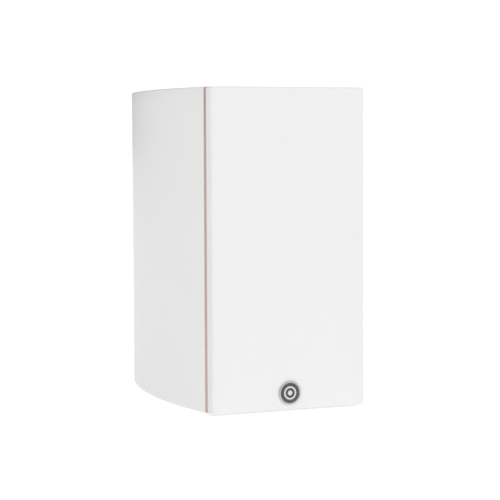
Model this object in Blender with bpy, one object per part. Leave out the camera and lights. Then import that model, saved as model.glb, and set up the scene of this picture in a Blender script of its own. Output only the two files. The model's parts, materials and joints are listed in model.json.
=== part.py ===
"""A compact two-way bookshelf loudspeaker with bowed sides, a cloth front grille and a rear port.

Units are metres and +Z is up. The front faces -Y and the origin lies under the middle of the
overall box, on the surface that the rubber feet stand on. A "depth" is a distance behind the front
of the grille cloth, and at_depth() turns it into a Y coordinate.
"""

import math

import bmesh
import bpy
from mathutils import Matrix, Vector

MM = 0.001

# ---- The cabinet's driving dimensions ----
CABINET_HEIGHT = 290.0 * MM
FRONT_WIDTH = 150.0 * MM
CABINET_DEPTH = 250.0 * MM  # front of the grille cloth to the rear panel's outer face
SIDE_RADIUS = 470.0 * MM  # the bow of each side, seen from above
WIDEST_DEPTH = 94.5 * MM  # how far behind the front the cabinet is widest
REAR_CORNER_RADIUS = 24.0 * MM
SIDE_WALL = 10.0 * MM
TOP_WALL = 15.0 * MM
REAR_WALL = 15.0 * MM
BAFFLE_THICKNESS = 18.0 * MM
FOOT_HEIGHT = 2.0 * MM
CLEARANCE = 0.3 * MM  # between pieces that touch on the real speaker
SPARE = 1.0 * MM  # how far a cutter runs past what it cuts

# ---- Grille, badge and the coloured ring behind the grille ----
GRILLE_THICKNESS = 9.5 * MM
CLOTH_THICKNESS = 0.5 * MM
RING_THICKNESS = 3.0 * MM
RING_WIDTH = 4.0 * MM
RING_SET_BACK = 1.2 * MM  # how far the ring lies inside the cabinet's sides
GRILLE_SIDE_BORDER = 21.0 * MM
GRILLE_TOP_BORDER = 14.0 * MM
GRILLE_BOTTOM_BORDER = 30.0 * MM
GRILLE_CORNER_RADIUS = 12.0 * MM
PEG_RADIUS = 3.0 * MM
PEG_LENGTH = 8.0 * MM
PEG_FROM_SIDE = 15.0 * MM
PEG_FROM_END = 22.0 * MM
SOCKET_WALL = 1.8 * MM
SOCKET_DEPTH = 10.0 * MM
SOCKET_LIP = 0.8 * MM
BADGE_RADIUS = 10.8 * MM
BADGE_RIM_WIDTH = 1.7 * MM
BADGE_PROUD = 1.4 * MM
BADGE_HEIGHT_ABOVE_EDGE = 15.2 * MM
BADGE_PLATE_SET_BACK = 0.4 * MM

# ---- Drivers ----
WOOFER_HEIGHT = 92.0 * MM  # centre above the cabinet's lower edge
WOOFER_RADIUS = 61.0 * MM
WOOFER_FLANGE = 3.5 * MM
WOOFER_FLANGE_WIDTH = 9.5 * MM
WOOFER_GASKET = 1.0 * MM
WOOFER_SCREWS = 4
TWEETER_ABOVE_WOOFER = 116.0 * MM  # from centre to centre
TWEETER_RADIUS = 45.0 * MM
TWEETER_FLANGE = 3.5 * MM
TWEETER_BODY_RADIUS = 29.0 * MM
TWEETER_SCREWS = 3
SCREW_FROM_EDGE = 4.7 * MM  # from a flange's edge to its screw circle
SCREW_RADIUS = 1.9 * MM
SCREW_LENGTH = 14.0 * MM
SCREW_HEAD_RADIUS = 3.6 * MM
SCREW_HEAD_HEIGHT = 1.8 * MM

# ---- Rear fittings ----
REAR_PROUD = 2.5 * MM  # how far the port flange and terminal plate stand off the rear panel
PORT_HEIGHT = 205.0 * MM
PORT_RADIUS = 20.0 * MM
PORT_WALL = 2.0 * MM
PORT_LENGTH = 90.0 * MM
PORT_FLARE = 8.0 * MM
PORT_RIM = 3.0 * MM  # the flat rim outside the flare
PORT_BOSS = 2.5 * MM  # how much thicker the tube is inside the rear panel
TERMINAL_HEIGHT = 75.0 * MM
TERMINAL_BORDER = 6.0 * MM  # how far the plate laps over its opening
POCKET_SIZE = (54.0 * MM, 52.0 * MM)
POCKET_DEPTH = 27.5 * MM  # below the rear panel's outer face
POCKET_WALL = 2.0 * MM
POCKET_FLOOR = 2.5 * MM
POST_SPACING = 19.05 * MM
STUD_RADIUS = 3.0 * MM
STUD_TAIL_RADIUS = 2.4 * MM
STUD_TAIL = 18.0 * MM
STUD_SET_BACK = 0.4 * MM  # how far the stud ends inside the knob
SOCKET_BORE = 2.05 * MM  # takes a 4 mm plug
SOCKET_BORE_DEPTH = 18.0 * MM
POST_BASE_RADIUS = 7.2 * MM
POST_BASE_HEIGHT = 4.3 * MM
WASHER_THICKNESS = 2.0 * MM
WASHER_SET_BACK = 0.2 * MM  # how far the washer lies inside the knob's edge
KNOB_RADIUS = 6.8 * MM
KNOB_LENGTH = 18.0 * MM

# ---- Crossover ----
BOARD_SIZE = (54.0 * MM, 84.0 * MM)
BOARD_THICKNESS = 1.6 * MM
BOARD_GAP = 13.0 * MM  # from the pocket's floor to the board
WOOFER_COIL_SIZE = (18.0 * MM, 18.0 * MM)  # radius and length of its bobbin
TWEETER_COIL_SIZE = (13.0 * MM, 12.0 * MM)
CAPACITOR_SIZE = (6.0 * MM, 30.0 * MM)
RESISTOR_SIDE = 8.0 * MM
RESISTOR_LENGTH = 30.0 * MM

# ---- Other pieces ----
FOOT_RADIUS = 7.0 * MM
FRONT_FOOT_DEPTH = 36.0 * MM
REAR_FOOT_FROM_BACK = 36.0 * MM
FOOT_FROM_SIDE = 24.0 * MM
LEAD_RADIUS = 1.6 * MM
LEAD_POINTS = 34
LUG_SIZE = (9.0 * MM, 12.0 * MM)  # the plate that holds the woofer's two solder tags
LUG_THICKNESS = 2.0 * MM
LUG_DEPTH = 20.0 * MM
WADDING_START = 86.0 * MM
WADDING_FROM_BACK = 102.0 * MM
WADDING_FROM_WALL = 24.0 * MM

# ---- Facets ----
LARGE_ROUND = 32
MEDIUM_ROUND = 20
SMALL_ROUND = 12
SIDE_STEPS = 12
CORNER_STEPS = 4
BAFFLE_STEPS = 2

# ---- Worked out from the values above ----
BODY_FRONT = GRILLE_THICKNESS + RING_THICKNESS  # depth of the cabinet's front edge
MIDDLE_DEPTH = (CABINET_DEPTH + REAR_PROUD - BADGE_PROUD) / 2
BOTTOM = FOOT_HEIGHT
TOP = FOOT_HEIGHT + CABINET_HEIGHT
SIDE_CENTRE = FRONT_WIDTH / 2 - math.sqrt(SIDE_RADIUS**2 - WIDEST_DEPTH**2)
CORNER_DEPTH = CABINET_DEPTH - REAR_CORNER_RADIUS
CORNER_ANGLE = math.asin((CORNER_DEPTH - WIDEST_DEPTH) / (SIDE_RADIUS - REAR_CORNER_RADIUS))
CORNER_CENTRE = SIDE_CENTRE + (SIDE_RADIUS - REAR_CORNER_RADIUS) * math.cos(CORNER_ANGLE)
PANEL_INSET = SIDE_WALL + CLEARANCE  # outline of whatever fits between the sides
WADDING_END = CABINET_DEPTH - WADDING_FROM_BACK
TWEETER_HEIGHT = WOOFER_HEIGHT + TWEETER_ABOVE_WOOFER
WOOFER_BODY_RADIUS = WOOFER_RADIUS - WOOFER_FLANGE_WIDTH
WOOFER_SCREW_CIRCLE = WOOFER_RADIUS - SCREW_FROM_EDGE
TWEETER_SCREW_CIRCLE = TWEETER_RADIUS - SCREW_FROM_EDGE
POCKET_OUTER = (POCKET_SIZE[0] + 2 * POCKET_WALL, POCKET_SIZE[1] + 2 * POCKET_WALL)
TERMINAL_OPENING = (
    max(POCKET_OUTER[0], BOARD_SIZE[0]) + 2 * CLEARANCE,
    max(POCKET_OUTER[1], BOARD_SIZE[1]) + 2 * CLEARANCE,
)
TERMINAL_PLATE = (TERMINAL_OPENING[0] + 2 * TERMINAL_BORDER, TERMINAL_OPENING[1] + 2 * TERMINAL_BORDER)
BOARD_FACE = -POCKET_DEPTH - BOARD_GAP - BOARD_THICKNESS  # the side that holds the components


def at_depth(depth):
    """The Y coordinate of a plane that lies this far behind the grille's front."""
    return depth - MIDDLE_DEPTH


# ======================================================================================
# Modelling helpers
# ======================================================================================


def clear_scene():
    for old in list(bpy.data.objects):
        bpy.data.objects.remove(old, do_unlink=True)


def finish_material(name, colour, roughness, metallic=0.0):
    """A Principled material of one colour."""
    found = bpy.data.materials.get(name)
    if found:
        return found
    made = bpy.data.materials.new(name)
    made.use_nodes = True
    shader = made.node_tree.nodes["Principled BSDF"]
    shader.inputs["Base Color"].default_value = (*colour, 1.0)
    shader.inputs["Roughness"].default_value = roughness
    shader.inputs["Metallic"].default_value = metallic
    return made


def add_empty(name, location):
    """An assembly's frame: its pieces are parented to it."""
    frame = bpy.data.objects.new(name, None)
    frame.location = location
    bpy.context.scene.collection.objects.link(frame)
    return frame


def add_object(name, shape, material=None, location=(0, 0, 0), parent=None):
    """Turns a bmesh into a named object, smooth where it is round."""
    bmesh.ops.remove_doubles(shape, verts=shape.verts, dist=1e-7)
    bmesh.ops.recalc_face_normals(shape, faces=shape.faces)
    mesh = bpy.data.meshes.new(name)
    shape.to_mesh(mesh)
    shape.free()
    mesh.shade_smooth()
    mesh.set_sharp_from_angle(angle=math.radians(32))
    if material:
        mesh.materials.append(material)
    made = bpy.data.objects.new(name, mesh)
    made.location = location
    made.parent = parent
    bpy.context.scene.collection.objects.link(made)
    return made


def as_tool(obj):
    """Hides a cutter or a filler, which is only there for a Boolean."""
    obj.hide_render = True
    obj.display_type = "WIRE"
    return obj


def boolean(target, tool, operation, solver):
    modifier = target.modifiers.new(tool.name, "BOOLEAN")
    modifier.operation = operation
    modifier.solver = solver
    modifier.object = as_tool(tool)


def cut(target, tool, solver="EXACT"):
    boolean(target, tool, "DIFFERENCE", solver)


def join(target, tool, solver="EXACT"):
    boolean(target, tool, "UNION", solver)


def prism(outline, low, high, normal="Z"):
    """A closed outline of (a, b) points, swept from low to high along an axis.

    Along Z the points are (x, y), and along Y they are (x, z).
    """
    shape = bmesh.new()
    if normal == "Z":
        corners = [shape.verts.new((a, b, low)) for a, b in outline]
        sweep = Vector((0, 0, high - low))
    else:
        corners = [shape.verts.new((a, low, b)) for a, b in outline]
        sweep = Vector((0, high - low, 0))
    face = shape.faces.new(corners)
    swept = bmesh.ops.extrude_face_region(shape, geom=[face])
    moved = [v for v in swept["geom"] if isinstance(v, bmesh.types.BMVert)]
    bmesh.ops.translate(shape, verts=moved, vec=sweep)
    return shape


def turned(profile, segments, axis="Y", closed=True):
    """Spins (radius, along) points round an axis.

    A closed profile makes a ring. An open one starts and ends on the axis.
    """
    shape = bmesh.new()
    line = [shape.verts.new((radius, 0, along)) for radius, along in profile]
    edges = [shape.edges.new(pair) for pair in zip(line, line[1:])]
    if closed:
        edges.append(shape.edges.new((line[-1], line[0])))
    bmesh.ops.spin(
        shape,
        geom=line + edges,
        axis=(0, 0, 1),
        cent=(0, 0, 0),
        angle=math.tau,
        steps=segments,
    )
    if axis == "Y":
        bmesh.ops.rotate(shape, verts=shape.verts, matrix=Matrix.Rotation(-math.pi / 2, 3, "X"))
    return shape


def rounded_rectangle(width, height, radius, centre=(0, 0), steps=3):
    """An outline with round corners, counterclockwise."""
    outline = []
    for quarter in range(4):
        start = quarter * math.pi / 2
        middle = start + math.pi / 4
        corner_x = centre[0] + math.copysign(width / 2 - radius, math.cos(middle))
        corner_z = centre[1] + math.copysign(height / 2 - radius, math.sin(middle))
        for step in range(steps + 1):
            angle = start + step * math.pi / 2 / steps
            outline.append((corner_x + radius * math.cos(angle), corner_z + radius * math.sin(angle)))
    return outline


def plate(width, height, radius, low, high, centre=(0, 0)):
    """A rounded rectangle that faces along Y."""
    return prism(rounded_rectangle(width, height, radius, centre), low, high, "Y")


def rods(places, radius, low, high, segments=SMALL_ROUND):
    """Cylinders along Y at (x, z) places, as separate closed shapes in one bmesh."""
    shape = bmesh.new()
    for x, z in places:
        turn = Matrix.Translation((x, (low + high) / 2, z)) @ Matrix.Rotation(math.pi / 2, 4, "X")
        bmesh.ops.create_cone(
            shape,
            cap_ends=True,
            segments=segments,
            radius1=radius,
            radius2=radius,
            depth=high - low,
            matrix=turn,
        )
    return shape


def arc(centre, radius, start, end, steps):
    """Points on a circle, with angles in degrees and both ends included."""
    angles = [math.radians(start + (end - start) * step / steps) for step in range(steps + 1)]
    return [(centre[0] + radius * math.cos(a), centre[1] + radius * math.sin(a)) for a in angles]


# ======================================================================================
# The cabinet's outline, seen from above
# ======================================================================================


def half_width(depth, inset=0.0):
    """Half the cabinet's width at a depth, for the outline moved in by inset.

    The side is one large arc, and the rear corner is a small arc that meets it smoothly.
    """
    tangent = WIDEST_DEPTH + (SIDE_RADIUS - inset) * math.sin(CORNER_ANGLE)
    if depth <= tangent:
        return SIDE_CENTRE + math.sqrt((SIDE_RADIUS - inset) ** 2 - (depth - WIDEST_DEPTH) ** 2)
    squared = (REAR_CORNER_RADIUS - inset) ** 2 - (depth - CORNER_DEPTH) ** 2
    return CORNER_CENTRE + math.sqrt(max(squared, 0.0))


def side_line(start, end, inset=0.0):
    """Points (x, y) down the right side, from one depth to another."""
    tangent = WIDEST_DEPTH + (SIDE_RADIUS - inset) * math.sin(CORNER_ANGLE)
    straight_end = min(end, tangent)
    steps = max(BAFFLE_STEPS, round(SIDE_STEPS * (straight_end - start) / CABINET_DEPTH))
    depths = [start + (straight_end - start) * step / steps for step in range(steps + 1)]
    if end > tangent:
        radius = REAR_CORNER_RADIUS - inset
        last = math.asin(min(1.0, (end - CORNER_DEPTH) / radius))
        for step in range(1, CORNER_STEPS + 1):
            angle = CORNER_ANGLE + (last - CORNER_ANGLE) * step / CORNER_STEPS
            depths.append(CORNER_DEPTH + radius * math.sin(angle))
    return [(half_width(depth, inset), at_depth(depth)) for depth in depths]


def full_outline(start, end, inset=0.0):
    """The closed outline of a slice of the cabinet between two depths."""
    right = side_line(start, end, inset)
    left = [(-x, y) for x, y in reversed(right)]
    return right + left


# ======================================================================================
# Cabinet
# ======================================================================================


def side_panel(name, hand, paint):
    """One bowed side, which wraps round the rear corner to the rear panel."""
    outer = side_line(BODY_FRONT, CABINET_DEPTH)
    inner = side_line(BODY_FRONT, CABINET_DEPTH - SIDE_WALL, SIDE_WALL)
    outline = [(hand * x, y) for x, y in outer + inner[::-1]]
    return add_object(name, prism(outline, BOTTOM, TOP), paint)


def end_panel(name, low, paint):
    """The top or bottom panel. It fits between the sides and has a tongue out to the rear face."""
    right = side_line(BODY_FRONT, CABINET_DEPTH - PANEL_INSET, PANEL_INSET)
    tongue = CORNER_CENTRE - CLEARANCE
    right += [(tongue, at_depth(CABINET_DEPTH - PANEL_INSET)), (tongue, at_depth(CABINET_DEPTH))]
    left = [(-x, y) for x, y in reversed(right)]
    return add_object(name, prism(right + left, low, low + TOP_WALL), paint)


def screw_places(count, circle, first_angle):
    """Places of a driver's screws as (x, z) from the driver's centre."""
    angles = [math.radians(first_angle + 360 * i / count) for i in range(count)]
    return [(circle * math.cos(a), circle * math.sin(a)) for a in angles]


WOOFER_SCREW_PLACES = screw_places(WOOFER_SCREWS, WOOFER_SCREW_CIRCLE, 45)
TWEETER_SCREW_PLACES = screw_places(TWEETER_SCREWS, TWEETER_SCREW_CIRCLE, 90)


def peg_places():
    """Places of the grille's four pegs as (x, z)."""
    x = FRONT_WIDTH / 2 - PEG_FROM_SIDE
    return [(i * x, z) for z in (BOTTOM + PEG_FROM_END, TOP - PEG_FROM_END) for i in (-1, 1)]


def driver_recess(baffle, name, height, radius, recess, body_radius, screws):
    """Cuts a driver's rebate, its through hole and its screw holes into the baffle."""
    through = BAFFLE_THICKNESS + SPARE
    centre = (0, at_depth(BODY_FRONT), BOTTOM + height)
    profile = [
        (0, -SPARE),
        (radius + CLEARANCE, -SPARE),
        (radius + CLEARANCE, recess),
        (body_radius + CLEARANCE, recess),
        (body_radius + CLEARANCE, through),
        (0, through),
    ]
    opening = turned(profile, LARGE_ROUND, closed=False)
    cut(baffle, add_object(name + "_opening_cutter", opening, location=centre), "MANIFOLD")
    bores = rods(screws, SCREW_RADIUS + CLEARANCE, recess - SPARE, through)
    cut(baffle, add_object(name + "_screw_cutter", bores, location=centre), "MANIFOLD")


def front_baffle(paint):
    """The panel that carries both drivers, flush with the cabinet's front edge."""
    outline = full_outline(BODY_FRONT, BODY_FRONT + BAFFLE_THICKNESS, PANEL_INSET)
    margin = TOP_WALL + CLEARANCE
    baffle = add_object("front_baffle", prism(outline, BOTTOM + margin, TOP - margin), paint)
    woofer_recess = WOOFER_FLANGE + WOOFER_GASKET + 2 * CLEARANCE
    tweeter_recess = TWEETER_FLANGE + CLEARANCE
    driver_recess(
        baffle, "woofer", WOOFER_HEIGHT, WOOFER_RADIUS, woofer_recess,
        WOOFER_BODY_RADIUS + 1.0 * MM, WOOFER_SCREW_PLACES,
    )
    driver_recess(
        baffle, "tweeter", TWEETER_HEIGHT, TWEETER_RADIUS, tweeter_recess,
        TWEETER_BODY_RADIUS, TWEETER_SCREW_PLACES,
    )
    socket_radius = PEG_RADIUS + CLEARANCE + SOCKET_WALL + CLEARANCE
    bores = rods(
        peg_places(), socket_radius, at_depth(BODY_FRONT) - SPARE,
        at_depth(BODY_FRONT) + SOCKET_DEPTH + CLEARANCE,
    )
    cut(baffle, add_object("socket_cutter", bores), "MANIFOLD")
    return baffle


def rear_panel(paint):
    """The flat panel between the two rear corners, cut for the port and the terminal plate."""
    width = 2 * (CORNER_CENTRE - CLEARANCE)
    low = at_depth(CABINET_DEPTH - REAR_WALL)
    high = at_depth(CABINET_DEPTH)
    half = width / 2
    outline = [(-half, low), (half, low), (half, high), (-half, high)]
    margin = TOP_WALL + CLEARANCE
    panel = add_object("rear_panel", prism(outline, BOTTOM + margin, TOP - margin), paint)
    bore = rods([(0, BOTTOM + PORT_HEIGHT)], port_boss_radius() + CLEARANCE, low - SPARE, high + SPARE,
                LARGE_ROUND)
    cut(panel, add_object("port_cutter", bore))
    opening = plate(*TERMINAL_OPENING, 4 * MM, low - SPARE, high + SPARE, (0, BOTTOM + TERMINAL_HEIGHT))
    cut(panel, add_object("terminal_cutter", opening))
    return panel


def rim_outline(inset):
    """The cabinet's front outline as (x, z), moved in by inset."""
    x = half_width(GRILLE_THICKNESS, inset)
    return [(-x, BOTTOM + inset), (x, BOTTOM + inset), (x, TOP - inset), (-x, TOP - inset)]


def accent_ring(metal):
    """The thin coloured ring that shows between the grille and the cabinet."""
    low = at_depth(GRILLE_THICKNESS + CLEARANCE)
    high = at_depth(BODY_FRONT - CLEARANCE)
    ring = add_object("accent_ring", prism(rim_outline(RING_SET_BACK), low, high, "Y"), metal)
    inside = prism(rim_outline(RING_SET_BACK + RING_WIDTH), low - SPARE, high + SPARE, "Y")
    cut(ring, add_object("ring_cutter", inside))


def feet(rubber):
    """Four soft feet under the bottom panel."""
    chamfer = 0.8 * MM
    height = FOOT_HEIGHT - CLEARANCE
    profile = [(0, 0), (FOOT_RADIUS - chamfer, 0), (FOOT_RADIUS, chamfer), (FOOT_RADIUS, height), (0, height)]
    for end, depth in (("front", FRONT_FOOT_DEPTH), ("rear", CABINET_DEPTH - REAR_FOOT_FROM_BACK)):
        x = half_width(depth) - FOOT_FROM_SIDE
        for side, hand in (("left", -1), ("right", 1)):
            foot = turned(profile, SMALL_ROUND + 4, "Z", closed=False)
            add_object(f"foot_{end}_{side}", foot, rubber, (hand * x, at_depth(depth), 0))


def port_boss_radius():
    """The thicker part of the port tube that fills the rear panel's hole."""
    return PORT_RADIUS + PORT_WALL + PORT_BOSS


def port_tube(plastic):
    """The flared bass port. It is turned about its own axis, with Y zero at the rear panel's face."""
    flare_centre = (PORT_RADIUS + PORT_FLARE, REAR_PROUD - PORT_FLARE)
    outer = PORT_RADIUS + PORT_WALL
    boss = port_boss_radius()
    boss_end = -REAR_WALL - 3 * MM
    inner_lip = 3.0 * MM
    profile = [(PORT_RADIUS + inner_lip, -PORT_LENGTH)]
    profile += arc((PORT_RADIUS + inner_lip, inner_lip - PORT_LENGTH), inner_lip, 225, 180, 2)
    profile += arc(flare_centre, PORT_FLARE, 180, 90, 6)
    profile += [
        (PORT_RADIUS + PORT_FLARE + PORT_RIM, REAR_PROUD),
        (PORT_RADIUS + PORT_FLARE + PORT_RIM, CLEARANCE),
        (boss, CLEARANCE),
        (boss, boss_end),
        (outer, boss_end),
        (outer, inner_lip - PORT_LENGTH),
        (PORT_RADIUS + inner_lip, inner_lip / 2 - PORT_LENGTH),
    ]
    place = (0, at_depth(CABINET_DEPTH), BOTTOM + PORT_HEIGHT)
    add_object("port_tube", turned(profile, LARGE_ROUND), plastic, place)


def wadding(fibre):
    """The pad of damping fibre that fills the middle of the cabinet."""
    outline = full_outline(WADDING_START, WADDING_END, SIDE_WALL + WADDING_FROM_WALL)
    low = BOTTOM + TOP_WALL + CLEARANCE
    high = TOP - TOP_WALL - CLEARANCE
    add_object("wadding", prism(outline, low, high), fibre)


# ======================================================================================
# Grille
# ======================================================================================


def grille_frame(plastic):
    """The stiff frame under the cloth, with its four moulded pegs."""
    inset = CLOTH_THICKNESS + CLEARANCE
    back = GRILLE_THICKNESS
    outline = full_outline(inset, back, inset)
    frame = add_object("grille_frame", prism(outline, BOTTOM + inset, TOP - inset), plastic)
    width = FRONT_WIDTH - 2 * GRILLE_SIDE_BORDER
    height = CABINET_HEIGHT - GRILLE_TOP_BORDER - GRILLE_BOTTOM_BORDER
    middle = (BOTTOM + GRILLE_BOTTOM_BORDER + TOP - GRILLE_TOP_BORDER) / 2
    window = plate(
        width, height, GRILLE_CORNER_RADIUS, at_depth(-SPARE), at_depth(back + SPARE), (0, middle)
    )
    cut(frame, add_object("grille_window_cutter", window))
    overlap = 2.0 * MM
    peg_end = at_depth(BODY_FRONT + PEG_LENGTH)
    pegs = rods(peg_places(), PEG_RADIUS, at_depth(back - overlap), peg_end)
    join(frame, add_object("peg_filler", pegs))


def grille_cloth(fabric):
    """The cloth: one sheet over the front that folds back along all four edges."""
    cloth = add_object(
        "grille_cloth",
        prism(full_outline(0, GRILLE_THICKNESS), BOTTOM, TOP),
        fabric,
    )
    inset = CLOTH_THICKNESS
    inside = prism(
        full_outline(inset, GRILLE_THICKNESS + SPARE, inset), BOTTOM + inset, TOP - inset
    )
    cut(cloth, add_object("cloth_cutter", inside))


def badge(metal, enamel):
    """A round badge on the grille: a bright rim with a plain dark plate inside it."""
    inner = BADGE_RADIUS - BADGE_RIM_WIDTH
    back = -CLEARANCE
    front = -BADGE_PROUD
    edge = 0.4 * MM
    place = (0, at_depth(0), BOTTOM + BADGE_HEIGHT_ABOVE_EDGE)
    rim = [
        (BADGE_RADIUS, back),
        (BADGE_RADIUS, front + edge),
        (BADGE_RADIUS - edge, front),
        (inner + edge, front),
        (inner, front + edge),
        (inner, back),
    ]
    add_object("badge_rim", turned(rim, MEDIUM_ROUND), metal, place)
    radius = inner - CLEARANCE
    face = front + BADGE_PLATE_SET_BACK
    disc = [(0, back), (radius, back), (radius, face), (0, face)]
    add_object("badge_plate", turned(disc, MEDIUM_ROUND, closed=False), enamel, place)


def grille_sockets(rubber):
    """Four rubber cups in the baffle that grip the grille's pegs."""
    inner = PEG_RADIUS + CLEARANCE
    outer = inner + SOCKET_WALL
    floor = 1.2 * MM
    lip = outer + SOCKET_LIP
    profile = [
        (0, SOCKET_DEPTH - floor),
        (inner, SOCKET_DEPTH - floor),
        (inner, -SOCKET_LIP),
        (lip, -SOCKET_LIP),
        (lip, -CLEARANCE),
        (outer, -CLEARANCE),
        (outer, SOCKET_DEPTH),
        (0, SOCKET_DEPTH),
    ]
    names = ("lower_left", "lower_right", "upper_left", "upper_right")
    for name, (x, z) in zip(names, peg_places()):
        cup = turned(profile, SMALL_ROUND, closed=False)
        add_object(f"grille_socket_{name}", cup, rubber, (x, at_depth(BODY_FRONT), z))


# ======================================================================================
# Drivers. Y zero is the baffle's front face, and +Y goes into the cabinet.
# ======================================================================================


def driver_screws(name, places, parent, steel):
    """Pan-head screws through a driver's flange into the baffle."""
    head = -SCREW_HEAD_HEIGHT - CLEARANCE
    profile = [
        (0, head),
        (SCREW_HEAD_RADIUS * 0.7, head),
        (SCREW_HEAD_RADIUS, head / 2),
        (SCREW_HEAD_RADIUS, -CLEARANCE),
        (SCREW_RADIUS, -CLEARANCE),
        (SCREW_RADIUS, SCREW_LENGTH),
        (0, SCREW_LENGTH),
    ]
    for number, (x, z) in enumerate(places, 1):
        screw = turned(profile, SMALL_ROUND, closed=False)
        add_object(f"{name}_screw_{number}", screw, steel, (x, 0, z), parent)


BASKET_END = 33.2 * MM  # back of the woofer's basket, where its motor starts
SPIDER_LEDGE = 26.0 * MM
SPIDER_OUTER = 36.3 * MM
COIL_RADIUS = 13.0 * MM
COIL_WALL = 0.5 * MM
WINDING = 1.0 * MM
MAGNET_GAP = 0.7 * MM
SURROUND_OUTER = WOOFER_BODY_RADIUS - 1.0 * MM
SURROUND_INNER = SURROUND_OUTER - 12.7 * MM
SURROUND_ROLL = 4.8 * MM
SURROUND_THICKNESS = 0.7 * MM
SURROUND_SEAT = 2.2 * MM
CONE_THICKNESS = 0.7 * MM
CONE_NECK_DEPTH = 20.4 * MM
CAP_RADIUS = 16.8 * MM
CAP_HEIGHT = 6.4 * MM
BASKET_WINDOWS = 6
BASKET_SHOULDER = 8.0 * MM
BASKET_REAR_RADIUS = 35.0 * MM
BASKET_WALL = 3.0 * MM
BASKET_FLOOR = 2.0 * MM
WINDOW_WIDTH = 27.0 * MM


def basket_wall_radius(depth):
    """Outer radius of the basket's conical wall at a depth behind the flange's front."""
    share = (depth - BASKET_SHOULDER) / (BASKET_END - BASKET_SHOULDER)
    return WOOFER_BODY_RADIUS + (BASKET_REAR_RADIUS - WOOFER_BODY_RADIUS) * share


def woofer_basket(frame, alloy):
    """The cast chassis: a flange, a conical wall with windows, the spider's ledge and a rear ring."""
    coil_hole = COIL_RADIUS + WINDING + 2 * MM
    spider_seat = SPIDER_OUTER - 5.8 * MM
    inner = WOOFER_BODY_RADIUS - BASKET_WALL
    profile = [
        (WOOFER_RADIUS, 0),
        (WOOFER_RADIUS, WOOFER_FLANGE),
        (WOOFER_BODY_RADIUS, WOOFER_FLANGE),
        (WOOFER_BODY_RADIUS, BASKET_SHOULDER),
        (BASKET_REAR_RADIUS, BASKET_END - 1.2 * MM),
        (BASKET_REAR_RADIUS, BASKET_END),
        (coil_hole, BASKET_END),
        (coil_hole, BASKET_END - BASKET_FLOOR),
        (spider_seat, BASKET_END - BASKET_FLOOR),
        (spider_seat, SPIDER_LEDGE),
        (SPIDER_OUTER + 2 * CLEARANCE, SPIDER_LEDGE),
        (inner, BASKET_SHOULDER),
        (inner, SURROUND_SEAT),
        (SURROUND_OUTER + CLEARANCE, SURROUND_SEAT),
        (SURROUND_OUTER + CLEARANCE, 0),
    ]
    basket = add_object("woofer_basket", turned(profile, LARGE_ROUND), alloy, parent=frame)
    window = bmesh.new()
    start = BASKET_SHOULDER + 2.5 * MM
    end = SPIDER_LEDGE - 2.5 * MM
    middle = (start + end) / 2
    for number in range(BASKET_WINDOWS):
        turn = Matrix.Rotation(math.tau * (number + 0.5) / BASKET_WINDOWS, 4, "Y")
        place = turn @ Matrix.Translation((basket_wall_radius(middle), middle, 0))
        size = Matrix.Diagonal((24 * MM, end - start, WINDOW_WIDTH, 1))
        bmesh.ops.create_cube(window, size=1.0, matrix=place @ size)
    cut(basket, add_object("window_cutter", window, parent=frame))
    screw_holes = rods(WOOFER_SCREW_PLACES, SCREW_RADIUS + CLEARANCE, -SPARE, WOOFER_FLANGE + SPARE)
    cut(basket, add_object("basket_screw_cutter", screw_holes, parent=frame))
    lug = plate(*LUG_SIZE, 1 * MM, LUG_DEPTH, LUG_DEPTH + LUG_THICKNESS, (lug_centre(), 0))
    join(basket, add_object("lug_filler", lug, parent=frame))


def lug_centre():
    """X of the lug, which stands out from the basket's wall towards the leads."""
    overlap = 1.5 * MM
    return overlap - basket_wall_radius(LUG_DEPTH) - LUG_SIZE[0] / 2


def woofer_surround(frame, rubber):
    """The half-roll of rubber between the basket and the cone."""
    middle = (SURROUND_INNER + SURROUND_OUTER) / 2 - 0.15 * MM
    back = SURROUND_SEAT - CLEARANCE
    front = back - SURROUND_THICKNESS
    lean = math.degrees(math.asin(SURROUND_THICKNESS / SURROUND_ROLL))
    outside = arc((middle, back), SURROUND_ROLL, -lean, lean - 180, 5)
    inside = arc((middle, back), SURROUND_ROLL - SURROUND_THICKNESS, -180, 0, 5)
    profile = [(SURROUND_OUTER, back), (SURROUND_OUTER, front)]
    profile += outside
    profile += [(SURROUND_INNER, front), (SURROUND_INNER, back)]
    profile += inside
    add_object("woofer_surround", turned(profile, LARGE_ROUND), rubber, parent=frame)


def woofer_cone(frame, paper):
    """The straight-sided cone. Its lip lies under the surround, and its neck holds the voice coil."""
    lip_outer = SURROUND_INNER + 1.5 * MM
    lip_inner = SURROUND_INNER - 0.6 * MM
    seat = SURROUND_SEAT
    neck = COIL_RADIUS + CLEARANCE
    wall = CONE_THICKNESS
    profile = [
        (lip_outer, seat),
        (lip_inner, seat),
        (neck, CONE_NECK_DEPTH),
        (neck, CONE_NECK_DEPTH + 1.2 * MM),
        (neck + wall, CONE_NECK_DEPTH + 1.2 * MM),
        (neck + wall, CONE_NECK_DEPTH + wall / 2),
        (lip_inner, seat + wall),
        (lip_outer, seat + wall),
    ]
    add_object("woofer_cone", turned(profile, LARGE_ROUND), paper, parent=frame)


def dome_profile(radius, height, base, wall, steps):
    """A thin spherical cap whose rim is at base and whose crown points forward."""
    sphere = (radius**2 + height**2) / (2 * height)
    centre = base - height + sphere
    outer_angle = math.asin(radius / sphere)
    inner_sphere = sphere - wall
    inner_angle = math.acos((centre - base) / inner_sphere)
    outer = []
    inner = []
    for step in range(steps + 1):
        a = outer_angle * step / steps
        b = inner_angle * (1 - step / steps)
        outer.append((sphere * math.sin(a), centre - sphere * math.cos(a)))
        inner.append((inner_sphere * math.sin(b), centre - inner_sphere * math.cos(b)))
    return outer + inner


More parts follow.
